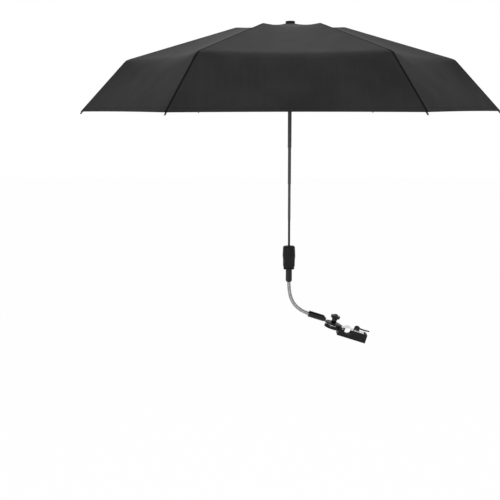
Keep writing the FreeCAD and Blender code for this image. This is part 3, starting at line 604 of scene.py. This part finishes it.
@dataclass
class Canopy:
    """The hexagonal cloth, drawn tight over six jointed ribs.

    Attributes:
        look: the cloth's material.
        reaches: reach from the axis at the peak, the bump, the bend and the hem.
        rises: height over the hem at the same four.
        ribs: how many ribs.
        columns: points from a rib to the middle of a panel.
        thick: thickness of the cloth.
        tight: half the length over which the cloth rolls over a ring at a rib.
        loose: the same in the middle of a panel.
        sags: how far the middle of a panel lies inside the flat facet, at the four reaches.
        dip: how far the cloth hangs below the straight line from the peak to the bump.
        scallop: how far the hem's cut curves up between two ribs.
        hole: radius of the hole round the shaft.
        keep: not used; meant as the share of a panel's width that is left when it is folded.
        slant: lean along the rib of the fold axis that each piece works out, as a share of its way.
        axis: place of the shaft, flat.
        hem: height of the hem's corners.
    """

    look: bpy.types.Material
    reaches: tuple[float, ...] = (0.010, 0.114, 0.349, 0.450)
    rises: tuple[float, ...] = (0.183, 0.1755, 0.108, 0.0)
    ribs: int = 6
    columns: int = 19
    thick: float = 0.00035
    tight: float = 0.004
    loose: float = 0.030
    sags: tuple[float, ...] = (0.0, 0.0045, 0.009, 0.0)
    dip: float = 0.0034
    scallop: float = 0.0008
    hole: float = 0.005
    keep: float = 0.07
    slant: float = 0.13
    axis: np.ndarray = field(init=False)
    hem: float = field(init=False)

    def __post_init__(self) -> None:
        """Takes the axis and the hem's height from the CAD canopy."""
        low, high = corners("canopy")
        self.axis = (low + high)[:2] / 2.0
        self.hem = float(low[2])

    def gores(self) -> list[Gore]:
        """Returns the three stretches, which part at the rib's joints."""
        mid = float(np.linalg.norm(where("mid_1_fold")[:2] - self.axis))
        outer = self.reaches[2]
        return [
            Gore("inner", self.hole, mid, 30),
            Gore("mid", mid, outer, 22),
            Gore("outer", outer, self.reaches[3], 24),
        ]

    def height(self, reach: np.ndarray, ease: np.ndarray) -> np.ndarray:
        """Returns the height over the hem.

        Straight slopes meet at the bump and the bend; each meeting is rolled over 2 · ease,
        where the bend's share is (x + ease)² / (4 · ease) instead of the larger of x and 0.
        Above the bump it is lower by dip · 4 · t · (1 − t), with t from the peak to the bump.
        """
        slopes = np.diff(self.rises) / np.diff(self.reaches)
        height = self.rises[0] + slopes[0] * (reach - self.reaches[0])
        for ring in (1, 2):
            x = reach - self.reaches[ring]
            rolled = np.where(np.abs(x) < ease, (x + ease) ** 2 / (4.0 * ease), np.maximum(x, 0.0))
            height = height + (slopes[ring] - slopes[ring - 1]) * rolled
        t = np.clip((reach - self.reaches[0]) / (self.reaches[1] - self.reaches[0]), 0.0, 1.0)
        return height - self.dip * 4.0 * t * (1.0 - t)

    def sag(self, reach: np.ndarray) -> np.ndarray:
        """Returns the sag in the middle of a panel, eased between two reaches by t² · (3 − 2 · t)."""
        reaches, sags = np.array(self.reaches), np.array(self.sags)
        at = np.clip(np.searchsorted(reaches, reach) - 1, 0, len(reaches) - 2)
        t = np.clip((reach - reaches[at]) / (reaches[at + 1] - reaches[at]), 0.0, 1.0)
        return sags[at] + (sags[at + 1] - sags[at]) * t**2 * (3.0 - 2.0 * t)

    def headings(self, rib: int, side: Side) -> tuple[np.ndarray, np.ndarray, np.ndarray]:
        """Returns the flat directions of a rib, of the panel's middle and of the next rib."""
        here = TURN * rib / self.ribs
        there = here + side.value * TURN / self.ribs
        return heading(here), heading((here + there) / 2.0), heading(there)

    def points(self, rib: int, side: Side, down: np.ndarray, over: np.ndarray, gore: Gore) -> np.ndarray:
        """Returns points of the outer face.

        A point is axis + reach · ((1 − over) · e(rib) + over · e(next rib)) at its height, moved
        square to the facet, inwards, by sag · 4 · over · (1 − over). The hem's reach is less by
        scallop · 4 · over · (1 − over).

        Args:
            rib: number of the rib, from 0.
            side: the half of the panel.
            down: share of the stretch, from its upper end.
            over: share of the way to the next rib.
            gore: the stretch.

        Returns:
            Points in the shared frame, in the shape of down.
        """
        bulge = 4.0 * over * (1.0 - over)
        end = gore.end - (self.scallop * bulge if gore.end >= self.reaches[3] else 0.0)
        reach = gore.start + (end - gore.start) * down
        ease = self.tight + (self.loose - self.tight) * bulge
        here, middle, there = self.headings(rib, side)
        flat = (1.0 - over)[..., None] * here + over[..., None] * there
        step = 1e-4
        slope = (self.height(reach + step, ease) - self.height(reach - step, ease)) / (2.0 * step)
        slope = slope / math.cos(TURN / self.ribs / 2.0)
        sag = self.sag(reach) * bulge / np.sqrt(1.0 + slope**2)
        points = np.empty((*reach.shape, 3))
        points[..., :2] = self.axis + reach[..., None] * flat + (sag * slope)[..., None] * middle
        points[..., 2] = self.hem + self.height(reach, ease) - sag
        return points

    def normals(self, rib: int, side: Side, down: np.ndarray, over: np.ndarray, gore: Gore) -> np.ndarray:
        """Returns the outer face's normals at the same points; at the rib they lie in its plane."""
        def change(step_down: float, step_over: float) -> np.ndarray:
            """Returns the points a step ahead less those a step behind."""
            ahead = self.points(rib, side, down + step_down, over + step_over, gore)
            return ahead - self.points(rib, side, down - step_down, over - step_over, gore)

        step = 1e-3
        lead = np.cross(change(step, 0.0), change(0.0, step)) * side.value
        beside = np.cross(UP, [*self.headings(rib, side)[0], 0.0])
        lead[:, 0] -= np.outer(lead[:, 0] @ beside, beside)
        return unit(lead)

    def piece(self, rib: int, side: Side, gore: Gore) -> None:
        """Makes one half panel's stretch as a thin closed sheet, which rides on its rib's body."""
        down, over = np.meshgrid(
            np.linspace(0.0, 1.0, gore.rows), np.linspace(0.0, 0.5, self.columns), indexing="ij"
        )
        outer = self.points(rib, side, down, over, gore)
        inner = outer - self.normals(rib, side, down, over, gore) * self.thick
        flip = side is Side.AFTER
        shape = Shape().grid(outer, flip=not flip).grid(inner, flip=flip)
        rim = [(outer[0], inner[0]), (inner[-1], outer[-1]),
               (inner[:, 0], outer[:, 0]), (outer[:, -1], inner[:, -1])]
        for first, second in rim:
            shape.grid(np.stack([first, second]), flip=not flip)
        name = f"cloth_{gore.body}_{rib + 1}_{side.name.lower()}"
        made = shape.object(name, self.look, 60.0)
        self.mark(made, rib, side)
        upper = 0.5 * (outer[0, 0] + outer[-1, 0])
        direction = unit(outer[-1, 0] - outer[0, 0])
        width = outer[-1, -1] - outer[-1, 0]
        square = unit(width - direction * np.dot(width, direction))
        fold_axis = unit(square - self.slant * direction)
        settle(made, f"{gore.body}_{rib + 1}", "canopy")
        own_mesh(made)
        self.declare(made, outer)

    def mark(self, made: bpy.types.Object, rib: int, side: Side) -> None:
        """Writes the flat coordinates and the distances from seam and hem on a piece."""
        mesh = made.data
        places = vertices(mesh)
        here, middle, _ = self.headings(rib, side)
        flat = places[:, :2] - self.axis
        seam = np.abs(flat @ np.array([-here[1], here[0]]))
        out = flat @ middle / math.cos(TURN / self.ribs / 2.0)
        across = flat @ np.array([-middle[1], middle[0]])
        drop = (self.reaches[3] - self.reaches[2]) / (self.rises[2] - self.rises[3])
        rise = places[:, 2] - self.hem
        for name, values in (("seam", seam), ("hem", rise * math.hypot(1.0, drop))):
            entry = mesh.attributes.new(name, "FLOAT", "POINT")
            entry.data.foreach_set("value", values.astype(np.float32))
        loops = np.empty(len(mesh.loops), np.int32)
        mesh.loops.foreach_get("vertex_index", loops)
        along = out + 0.7 * (self.rises[0] - rise)
        chart = np.stack([across, along], axis=1)[loops]
        mesh.uv_layers.new(name="cloth").data.foreach_set("uv", chart.astype(np.float32).ravel())

    @staticmethod
    def declare(made: bpy.types.Object, face: np.ndarray) -> None:
        """Takes a piece and its outer face, and does nothing with them."""

    def build(self) -> None:
        """Makes every half panel's three stretches."""
        for rib in range(self.ribs):
            for side in Side:
                for gore in self.gores():
                    self.piece(rib, side, gore)
        log.info("canopy of %d half panels", self.ribs * len(Side))


@dataclass
class Neck:
    """The flexible arm: one close-wound wire whose middle line runs through the joints.

    Attributes:
        look: the wire's material.
        wire: radius of the wire.
        coil: radius of the coil's middle line.
        pitch: rise of one turn.
        facets: points round the wire.
        steps: points in one turn.
        fine: points of the middle line for each joint.
        names: the joints, from the tilting arm up.
        bodies: the bodies that they part.
    """

    look: bpy.types.Material
    wire: float = 0.00093
    coil: float = 0.0032
    pitch: float = 0.0018
    facets: int = 10
    steps: int = 28
    fine: int = 60
    names: tuple[str, ...] = ("bend_1", "sway_1", "bend_2", "sway_2", "bend_3", "sway_3", "bend_4")
    bodies: tuple[str, ...] = (
        "tilt_arm", "link_1", "link_2", "link_3", "link_4", "link_5", "link_6", "plug")

    def line(self) -> np.ndarray:
        """Returns points of the middle line, fine of them for each joint, which lies halfway.

        Between the midpoints round a joint a point is
        (1 − t)² · before + 2 · t · (1 − t) · joint + t² · after.
        """
        joints = np.array([where(f"neck_{name}") for name in self.names])
        first = 2.0 * joints[0] - joints[1]
        last = 2.0 * joints[-1] - joints[-2]
        whole = np.vstack([first, joints, last])
        middles = (whole[1:] + whole[:-1]) / 2.0
        t = np.linspace(0.0, 1.0, self.fine, endpoint=False)[:, None]
        parts = [
            (1 - t) ** 2 * before + 2 * t * (1 - t) * here + t**2 * after
            for before, here, after in zip(middles, joints, middles[1:])
        ]
        return np.vstack([*parts, middles[-1:]])

    def build(self) -> None:
        """Winds the wire and parts it at the joints, each piece riding on its own link.

        A point of the wire is line(s) + coil · e(turn) + wire · (cos · e(turn) + sin · b), where
        e turns once in each pitch of s round the line and b is square to e and the wire.
        """
        line = self.line()
        length = lengths(line)
        cuts = np.concatenate([[0.0], length[self.fine // 2 :: self.fine], length[-1:]])
        side, near = np.array([0.0, 1.0, 0.0]), 2e-4
        for body, start, end in zip(self.bodies, cuts, cuts[1:]):
            count = int(math.ceil((end - start) / self.pitch * self.steps)) + 1
            s = np.linspace(start, end, count)
            way = unit(on_line(s + near, length, line) - on_line(s - near, length, line))
            x = unit(side - way * (way @ side)[:, None])
            y = np.cross(way, x)
            angle = (TURN * s / self.pitch)[:, None]
            out = x * np.cos(angle) + y * np.sin(angle)
            round_way = y * np.cos(angle) - x * np.sin(angle)
            centre = on_line(s, length, line) + self.coil * out
            tangent = unit(way * self.pitch + round_way * TURN * self.coil)
            cross = np.cross(tangent, out)
            ring = angles(self.facets)[None, :, None]
            wall = centre[:, None] + self.wire * (out[:, None] * np.cos(ring) + cross[:, None] * np.sin(ring))
            ends = [np.repeat(centre[at][None, None], self.facets, axis=1) for at in (0, -1)]
            shape = Shape().grid(np.concatenate([ends[0], wall, ends[1]]), wrap=True, flip=True)
            made = shape.object(f"neck_wire_{body}", self.look, 80.0)
            settle(made, body, f"neck_{body}" if body.startswith("link") else "")
        log.info("neck of %d wound pieces", len(cuts) - 1)


def extent(node: str, place: Place) -> tuple[np.ndarray, np.ndarray]:
    """Returns a CAD node's lowest and highest corner, measured along a place's own directions."""
    local = (vertices(frame["nodes"][node].data) - place.origin) @ np.stack([place.x, place.y, place.z]).T
    return local.min(axis=0), local.max(axis=0)


def upright(node: str) -> tuple[Place, float, float]:
    """Returns the place of a round upright node at its foot, its radius and its height."""
    low, high = corners(node)
    middle = (low + high) / 2.0
    foot = np.array([middle[0], middle[1], low[2]])
    place = Place.along(foot, UP, RIGHT)
    return place, float(high[1] - low[1]) / 2.0, float(high[2] - low[2])


@dataclass
class Handle:
    """The rubber grip: a waisted barrel with petal hollows round its lower half.

    Attributes:
        look: the rubber's material.
        gloss: the upper sleeve's material.
        foot: radius of the grip's foot.
        bore: radius of the hole that the core fills.
        roof: thickness of the grip over the core.
        throat: radius of the hole for the tube.
        petals: how many hollows.
        hollow: depth of a hollow.
        petal_wide: half the width of a hollow, as a share of the angle from one to the next.
        petal_mid: height of a hollow's widest place, as a share of the grip's.
        petal_drop: the hollow's reach below that, as a share of the grip's height.
        petal_top: height at which the hollows have faded, as a share of the grip's.
        petal_fade: the way over which they fade, as a share of the grip's height.
        columns: points round the grip.
        rows: points up its side.
    """

    look: bpy.types.Material
    gloss: bpy.types.Material
    foot: float = 0.0109
    bore: float = 0.01001
    roof: float = 0.003
    throat: float = 0.0031
    petals: int = 6
    hollow: float = 0.0013
    petal_wide: float = 0.40
    petal_mid: float = 0.38
    petal_drop: float = 0.31
    petal_top: float = 0.60
    petal_fade: float = 0.16
    columns: int = 168
    rows: int = 64

    def side(self, height: float) -> np.ndarray:
        """Returns the outside of the grip as (radius, height), from its foot to the crest."""
        top = height / MM
        outline = [
            (self.foot / MM, 0.0, 0.0), (12.9, 3.4, 1.6), (13.2, 0.34 * top, 8.0), (14.1, 0.52 * top, 5.0),
            (13.1, top - 2.4, 2.0), (11.8, top - 0.4, 1.2), (9.4, top, 0.6), (self.throat / MM, top, 0.0)]
        return filleted(outline, 12) * MM

    def build(self) -> None:
        """Makes the grip and the sleeve below it.

        The grip's radius is the side's less hollow · (1 − e)^0.6 where e < 1, with e the square of
        the angle from a petal's middle over its half angle, plus, below the petal's widest place,
        the square of the height from there over the petal's drop. Towards the top it fades out.
        """
        place, _, height = upright("handle_grip")
        side = self.side(height)
        length = lengths(side)
        side = on_line(np.linspace(0.0, length[-1], self.rows), length, side)
        turn = (angles(self.columns) * self.petals / TURN + 0.25) % 1.0 - 0.5
        up = side[:, 1:] / height
        below = np.minimum(up - self.petal_mid, 0.0) / self.petal_drop
        e = (turn[None] / self.petal_wide) ** 2 + below**2
        fade = np.clip((self.petal_top - up) / self.petal_fade, 0.0, 1.0)
        dent = self.hollow * np.clip(1.0 - e, 0.0, 1.0) ** 0.6 * fade * fade * (3.0 - 2.0 * fade)
        shape = Shape().turned(side, place, self.columns, dent)
        ceiling = height - self.roof
        inside = np.array([(self.throat, height), (self.throat, ceiling), (self.bore, ceiling),
                           (self.bore, 0.0), (self.foot, 0.0)])
        shape.turned(inside, place, self.columns)
        settle(shape.object("grip", self.look, 40.0), "handle", "handle_grip")
        self.sleeve()

    def sleeve(self) -> None:
        """Makes the glossy sleeve under the plug, with a rounded foot and a fine groove near its top."""
        place, radius, height = upright("upper_sleeve")
        groove = radius - 0.00035
        body = filleted([
            (0.0, 0.0, 0.0), (radius - 0.0022, 0.0, 0.0008), (radius, 0.0024, 0.0016),
            (radius, height - 0.0031, 0.0003), (groove, height - 0.0027, 0.0002),
            (groove, height - 0.0021, 0.0002), (radius, height - 0.0017, 0.0003),
            (radius, height, 0.0), (0.0, height, 0.0)])
        made = Shape().turned(body, place, 96).object("upper_sleeve_skin", self.gloss, 50.0)
        settle(made, "plug", "upper_sleeve")


@dataclass
class Shaft:
    """The telescopic tubes, with rolled rims and a pressed ring at each mouth, and the cap on top.

    Attributes:
        look: the upper tubes' material, a lighter grey that is partly their own metal and partly a painted
            highlight.
        lowest: the lowest tube's material.
        cap: the cap's material.
        wall: thickness of a tube.
        bead: how far a pressed ring stands proud.
        crown: height of the cap over the cloth.
        stem: radius of the cap's stem in the uppermost tube.
        tubes: the tubes, each with its body.
    """

    look: bpy.types.Material
    lowest: bpy.types.Material
    cap: bpy.types.Material
    wall: float = 0.00033
    bead: float = 0.00010
    crown: float = 0.0056
    stem: float = 0.0034
    tubes: tuple[tuple[str, str], ...] = (
        ("shaft_tube_4", "handle"), ("shaft_tube_3", "tube_3"),
        ("shaft_tube_2", "tube_2"), ("shaft_tube_1", "head"))

    def build(self) -> None:
        """Turns each tube's closed outline round its axis, and the cap's."""
        for node, body in self.tubes:
            place, radius, height = upright(node)
            skin = radius - self.bead
            bore = skin - self.wall
            outline = [
                (bore, height), (bore, 0.0), (skin, 0.0), (skin + 0.4 * self.bead, 0.0002),
                (radius, 0.0012), (radius, 0.0022), (skin, 0.0034), (skin, height), (bore, height)]
            look = self.lowest if body == "handle" else self.look
            made = Shape().turned(np.array(outline), place, 48).object(f"{node}_skin", look, 40.0)
            settle(made, body, node)
        place, radius, height = upright("top_cap")
        rim = height - self.crown
        outline = filleted([
            (0.0, 0.0, 0.0), (self.stem, 0.0, 0.0005), (self.stem, rim, 0.0), (radius, rim, 0.0004),
            (radius, rim + 0.0042, 0.0010), (radius * 0.80, rim + 0.0051, 0.0030), (0.0, height, 0.0)], 10)
        made = Shape().turned(outline, place, 72).object("cap_skin", self.cap, 50.0)
        settle(made, "head", "top_cap")
        log.info("shaft of %d tubes", len(self.tubes))


@dataclass
class Clamp:
    """The knob and the lever: lobed and domed mouldings in the clamp's leaning directions.

    Attributes:
        look: the moulding's material.
        lobes: how many lobes the knob has.
        lobe: how far a lobe stands out from the mean outline.
        hub: radius of the knob's hub.
        neck: radius of the knob's underside where the lobes are full, as a share of the mean.
        columns: points round the knob.
        blade: points along the lever's blade, and round it.
        root: the blade's start, from the lever's axis.
        square: how square the blade's section is; 1 is an ellipse, and less is squarer.
        place: the clamp's directions.
    """

    look: bpy.types.Material
    lobes: int = 7
    lobe: float = 0.0012
    hub: float = 0.0060
    neck: float = 0.86
    columns: int = 196
    blade: tuple[int, int] = (40, 28)
    root: float = 0.002
    square: float = 0.62
    place: Place = field(init=False)

    def __post_init__(self) -> None:
        """Takes the clamp's directions from the washer's travel."""
        self.place = Place.along(np.zeros(3), np.array(joint("washer_travel")["axis"], float), RIGHT)

    def at(self, node: str, axis: np.ndarray) -> tuple[Place, np.ndarray, np.ndarray]:
        """Returns a place on an axis at a node's foot, and the node's corners seen from there."""
        flat = replace(self.place, origin=axis)
        low, high = extent(node, flat)
        return replace(flat, origin=axis + flat.z * low[2]), low, high

    def knob(self) -> None:
        """Makes the knob.

        Its radius is the outline's times 1 + share · lobe / mean · cos(lobes · angle). The share
        grows from the hub outwards on the underside, and from half the mean radius on the head.
        """
        foot, low, high = self.at("star_knob", where("knob_turn"))
        height = float(high[2] - low[2])
        mean = float(high[0]) - self.lobe
        head, rim = height * 0.5, mean * self.neck
        stem = filleted([(0.0041, 0.0, 0.0), (self.hub - 0.0004, 0.0, 0.0003),
                         (self.hub, head - 0.0004, 0.0012), (rim, head, 0.0)], 6)
        cap = filleted([(rim, head, 0.0), (mean, head + 0.0006, 0.0012), (mean, height - 0.0036, 0.0018),
                        (mean * 0.84, height - 0.0026, 0.0020), (mean * 0.52, height - 0.0032, 0.0010),
                        (mean * 0.45, height - 0.0010, 0.0010), (mean * 0.22, height - 0.0001, 0.0020),
                        (0.0, height, 0.0)], 8)
        swing = self.lobe / mean * np.cos(self.lobes * angles(self.columns))
        shape = Shape()
        for outline, start, full in ((stem, self.hub, rim), (cap, mean * 0.5, mean)):
            share = np.clip((outline[:, :1] - start) / (full - start), 0.0, 1.0)
            shape.turned(outline, foot, self.columns, -outline[:, :1] * swing * share)
        settle(shape.object("knob_skin", self.look, 50.0), "knob", "star_knob")

    def lever(self) -> None:
        """Makes the lever: a domed hub, and a blade of rounded sections that narrows along its length.

        A section is (wide · cos^square, thick · sin^square), each with its sign kept, and the
        last of the blade is closed by a quarter of an ellipse.
        """
        foot, low, high = self.at("clamp_lever", where("lever_turn"))
        height = float(high[2] - low[2])
        hub, tip = float(high[1]), float(high[0])
        outline = filleted([(0.0046, 0.0, 0.0), (hub - 0.0005, 0.0, 0.0004), (hub, 0.0006, 0.0004),
                            (hub, height - 0.0042, 0.002), (hub * 0.66, height - 0.0009, 0.003),
                            (0.0, height, 0.0)], 10)
        shape = Shape().turned(outline, foot)
        share = np.linspace(0.0, 1.0, self.blade[0])[:, None]
        end = np.sqrt(np.clip(1.0 - np.clip((share - 0.93) / 0.07, 0.0, 1.0) ** 2, 0.0, 1.0))
        wide = (0.0034 - 0.0014 * share) * end
        thick = (0.00185 - 0.0006 * share) * end
        rise = 0.0052 - 0.0008 * np.sin(share * math.pi)
        across, over = (
            np.sign(wave) * np.abs(wave) ** self.square
            for wave in (np.cos(angles(self.blade[1])), np.sin(angles(self.blade[1])))
        )
        reach = np.broadcast_to(self.root + (tip - self.root) * share, self.blade)
        local = np.stack([reach, -wide * across, rise + thick * over], axis=-1)
        shape.grid(foot.put(local), wrap=True, flip=True)
        settle(shape.object("lever_skin", self.look, 50.0), "lever", "clamp_lever")

    def build(self) -> None:
        """Makes both mouldings."""
        self.knob()
        self.lever()


@dataclass
class Fittings:
    """The hard pieces that keep their CAD shape and take a finish.

    Attributes:
        looks: the material of each slot of the record.
    """

    looks: dict[str, bpy.types.Material]

    def build(self) -> None:
        """Gives every CAD node the material of its slot in the record."""
        for entry in frame["record"]["subparts"]:
            made = frame["nodes"][entry["node"]]
            made.data.materials.clear()
            made.data.materials.append(self.looks[entry["material_slot"]])


@dataclass(frozen=True)
class Lamp:
    """A square or oblong lamp.

    Attributes:
        name: its name.
        at: its place from the shaft's axis.
        aim: the place it looks at, from the same.
        size: its width and height.
        power: its power in watts.
    """

    name: str
    at: tuple[float, float, float]
    aim: tuple[float, float, float]
    size: tuple[float, float]
    power: float


@dataclass
class Stage:
    """The white surroundings, the lamps and the camera.

    Attributes:
        axis: place of the shaft, from which the camera is measured.
        distance: from the camera to the shaft's axis.
        bearing: turn of the camera round the shaft, in degrees.
        height: of the camera.
        pan: turn of the view away from the shaft, in degrees.
        pitch: tip of the view, in degrees.
        roll: turn of the picture, in degrees.
        focal: focal length as a share of the picture's width.
        floor: height of the floor.
        spread: half the width of the floor.
        glow: how much of the floor is plain white to those rays; the rest keeps its shadow.
        ambient: strength of the surroundings as a light.
        direct: the rays to which the surroundings are plain white.
        lamps: the lamps.
    """

    axis: np.ndarray
    distance: float = 1.9204
    bearing: float = 1.592
    height: float = 0.4900
    pan: float = 2.555
    pitch: float = -9.139
    roll: float = -0.071
    focal: float = 884.3 / 500.0
    floor: float = -0.75
    spread: float = 14.0
    glow: float = 0.985
    ambient: float = 0.22
    direct: tuple[str, str, str] = ("Is Camera Ray", "Is Glossy Ray", "Is Transmission Ray")
    lamps: tuple[Lamp, ...] = (
        Lamp("top_lamp", (-0.1, 1.5, 2.1), (-0.1, 0.0, 0.5), (1.4, 1.4), 35.0),
        Lamp("side_lamp", (-1.3, -1.7, -0.05), (0.0, 0.0, 0.0), (0.25, 1.3), 5.0),
        Lamp("front_lamp", (0.0, -1.8, 1.3), (-0.1, 0.0, 0.4), (0.9, 0.9), 12.5),
    )

    def camera(self) -> None:
        """Sets the camera up as the photograph's."""
        data = bpy.data.cameras.new("camera")
        data.sensor_width = 36.0
        data.lens = self.focal * data.sensor_width
        data.clip_end = 60.0
        made = bpy.data.objects.new("camera", data)
        bearing, yaw = math.radians(self.bearing), math.radians(self.bearing - self.pan)
        pitch, roll = math.radians(self.pitch), math.radians(self.roll)
        at = Vector((self.axis[0] - self.distance * math.sin(bearing),
                     self.axis[1] - self.distance * math.cos(bearing), self.height))
        ahead = Vector((math.sin(yaw) * math.cos(pitch), math.cos(yaw) * math.cos(pitch), math.sin(pitch)))
        right = Vector((math.cos(yaw), -math.sin(yaw), 0.0))
        up = right.cross(ahead)
        side = right * math.cos(roll) + up * math.sin(roll)
        top = side.cross(ahead)
        made.matrix_world = Matrix.Translation(at) @ Matrix((side, top, -ahead)).transposed().to_4x4()
        bpy.context.scene.collection.objects.link(made)
        bpy.context.scene.camera = made

    def light(self, lamp: Lamp) -> None:
        """Adds a lamp that looks at its aim."""
        data = bpy.data.lights.new(lamp.name, "AREA")
        data.shape = "RECTANGLE"
        data.size, data.size_y = lamp.size
        data.energy = lamp.power
        made = bpy.data.objects.new(lamp.name, data)
        base = Vector((self.axis[0], self.axis[1], 0.0))
        place, goal = base + Vector(lamp.at), base + Vector(lamp.aim)
        turn = (goal - place).to_track_quat("-Z", "Y").to_matrix().to_4x4()
        made.matrix_world = Matrix.Translation(place) @ turn
        bpy.context.scene.collection.objects.link(made)

    def seen(self, graph: Graph) -> Socket:
        """Returns 1 for the rays to which the surroundings are plain white, and 0 for others."""
        rays = [graph.node("ShaderNodeLightPath", result=ray) for ray in self.direct]
        return rays[0].larger(rays[1]).larger(rays[2])

    def surroundings(self) -> None:
        """Makes a floor that keeps the shadow and a world that is white to the camera."""
        white = (1.0, 1.0, 1.0, 1.0)
        graph = Graph.named("floor_white")
        look = graph.surface(base_color=(0.9, 0.9, 0.9), roughness=0.9)
        bright = graph.node("ShaderNodeEmission", values={"Color": white, "Strength": 1.0})
        plain = Socket(graph, graph.shader.outputs[0])
        values = {0: self.seen(graph) * self.glow, 1: plain, 2: bright}
        graph.output("Material Output", graph.node("ShaderNodeMixShader", values=values))
        ends = (-self.spread, self.spread)
        grid = np.array([[(x, y, self.floor) for x in ends] for y in ends])
        floor = Shape().grid(grid).object("floor", look)
        world = bpy.data.worlds.new("world")
        bpy.context.scene.world = world
        sky = Graph(world)
        dim, bright = (
            sky.node("ShaderNodeBackground", values={"Color": white, "Strength": strength})
            for strength in (self.ambient, 1.0)
        )
        values = {0: self.seen(sky), 1: dim, 2: bright}
        sky.output("World Output", sky.node("ShaderNodeMixShader", values=values))

    def build(self) -> None:
        """Sets up surroundings, lamps and camera."""
        self.surroundings()
        for lamp in self.lamps:
            self.light(lamp)
        self.camera()
        bpy.context.scene.view_settings.view_transform = "Standard"


FINISHES: dict[str, Finish] = {
    "black_cloth": Cloth(),
    "black_plastic": Moulded("matte_plastic", (0.015, 0.015, 0.016), 0.46, gloss=0.18, ease=0.0004),
    "gloss_black": Moulded(
        "gloss_plastic", (0.004, 0.004, 0.0045), 0.11, gloss=0.3, ease=0.0004, depth=0.00001),
    "grip_rubber": Moulded("grip_rubber", (0.018, 0.018, 0.019), 0.58, gloss=0.15, fine=1800.0, depth=0.00008),
    "pad_rubber": Moulded("pad_rubber", (0.030, 0.030, 0.030), 0.75, fine=1200.0, depth=0.00008),
    "steel": Metal("brushed_steel", (0.62, 0.62, 0.63), 0.26, stretch=(0.06, 1.0, 1.0), ease=0.0002),
    "black_steel": Metal("black_steel", (0.055, 0.055, 0.057), 0.40, 0.20),
    # Partly the upper shaft tubes' own grey metal and partly a painted highlight: this lighter copy of the shaft
    # paint stands in for the highlight along their lit side.
    "grey_steel": Metal("grey_steel", (0.105, 0.105, 0.107), 0.36, 0.35),
    "dark_steel": Metal("dark_steel", (0.020, 0.020, 0.021), 0.40, 0.0),
    "neck_wire": Metal("neck_wire", (0.42, 0.42, 0.43), 0.30),
    "brass": Metal("turned_brass", (0.72, 0.53, 0.26), 0.28),
}


def main() -> None:
    """Dresses the frame, piece by piece, and sets the stage."""
    logging.basicConfig(level=logging.INFO, format="%(name)s: %(message)s")
    looks = {slot: finish.material() for slot, finish in FINISHES.items()}
    Fittings(looks).build()
    canopy = Canopy(looks["black_cloth"])
    canopy.build()
    Neck(looks["neck_wire"]).build()
    Handle(looks["grip_rubber"], looks["gloss_black"]).build()
    Shaft(looks["grey_steel"], looks["dark_steel"], looks["black_plastic"]).build()
    Clamp(looks["gloss_black"]).build()
    Stage(canopy.axis).build()


if __name__ == "__main__":
    main()
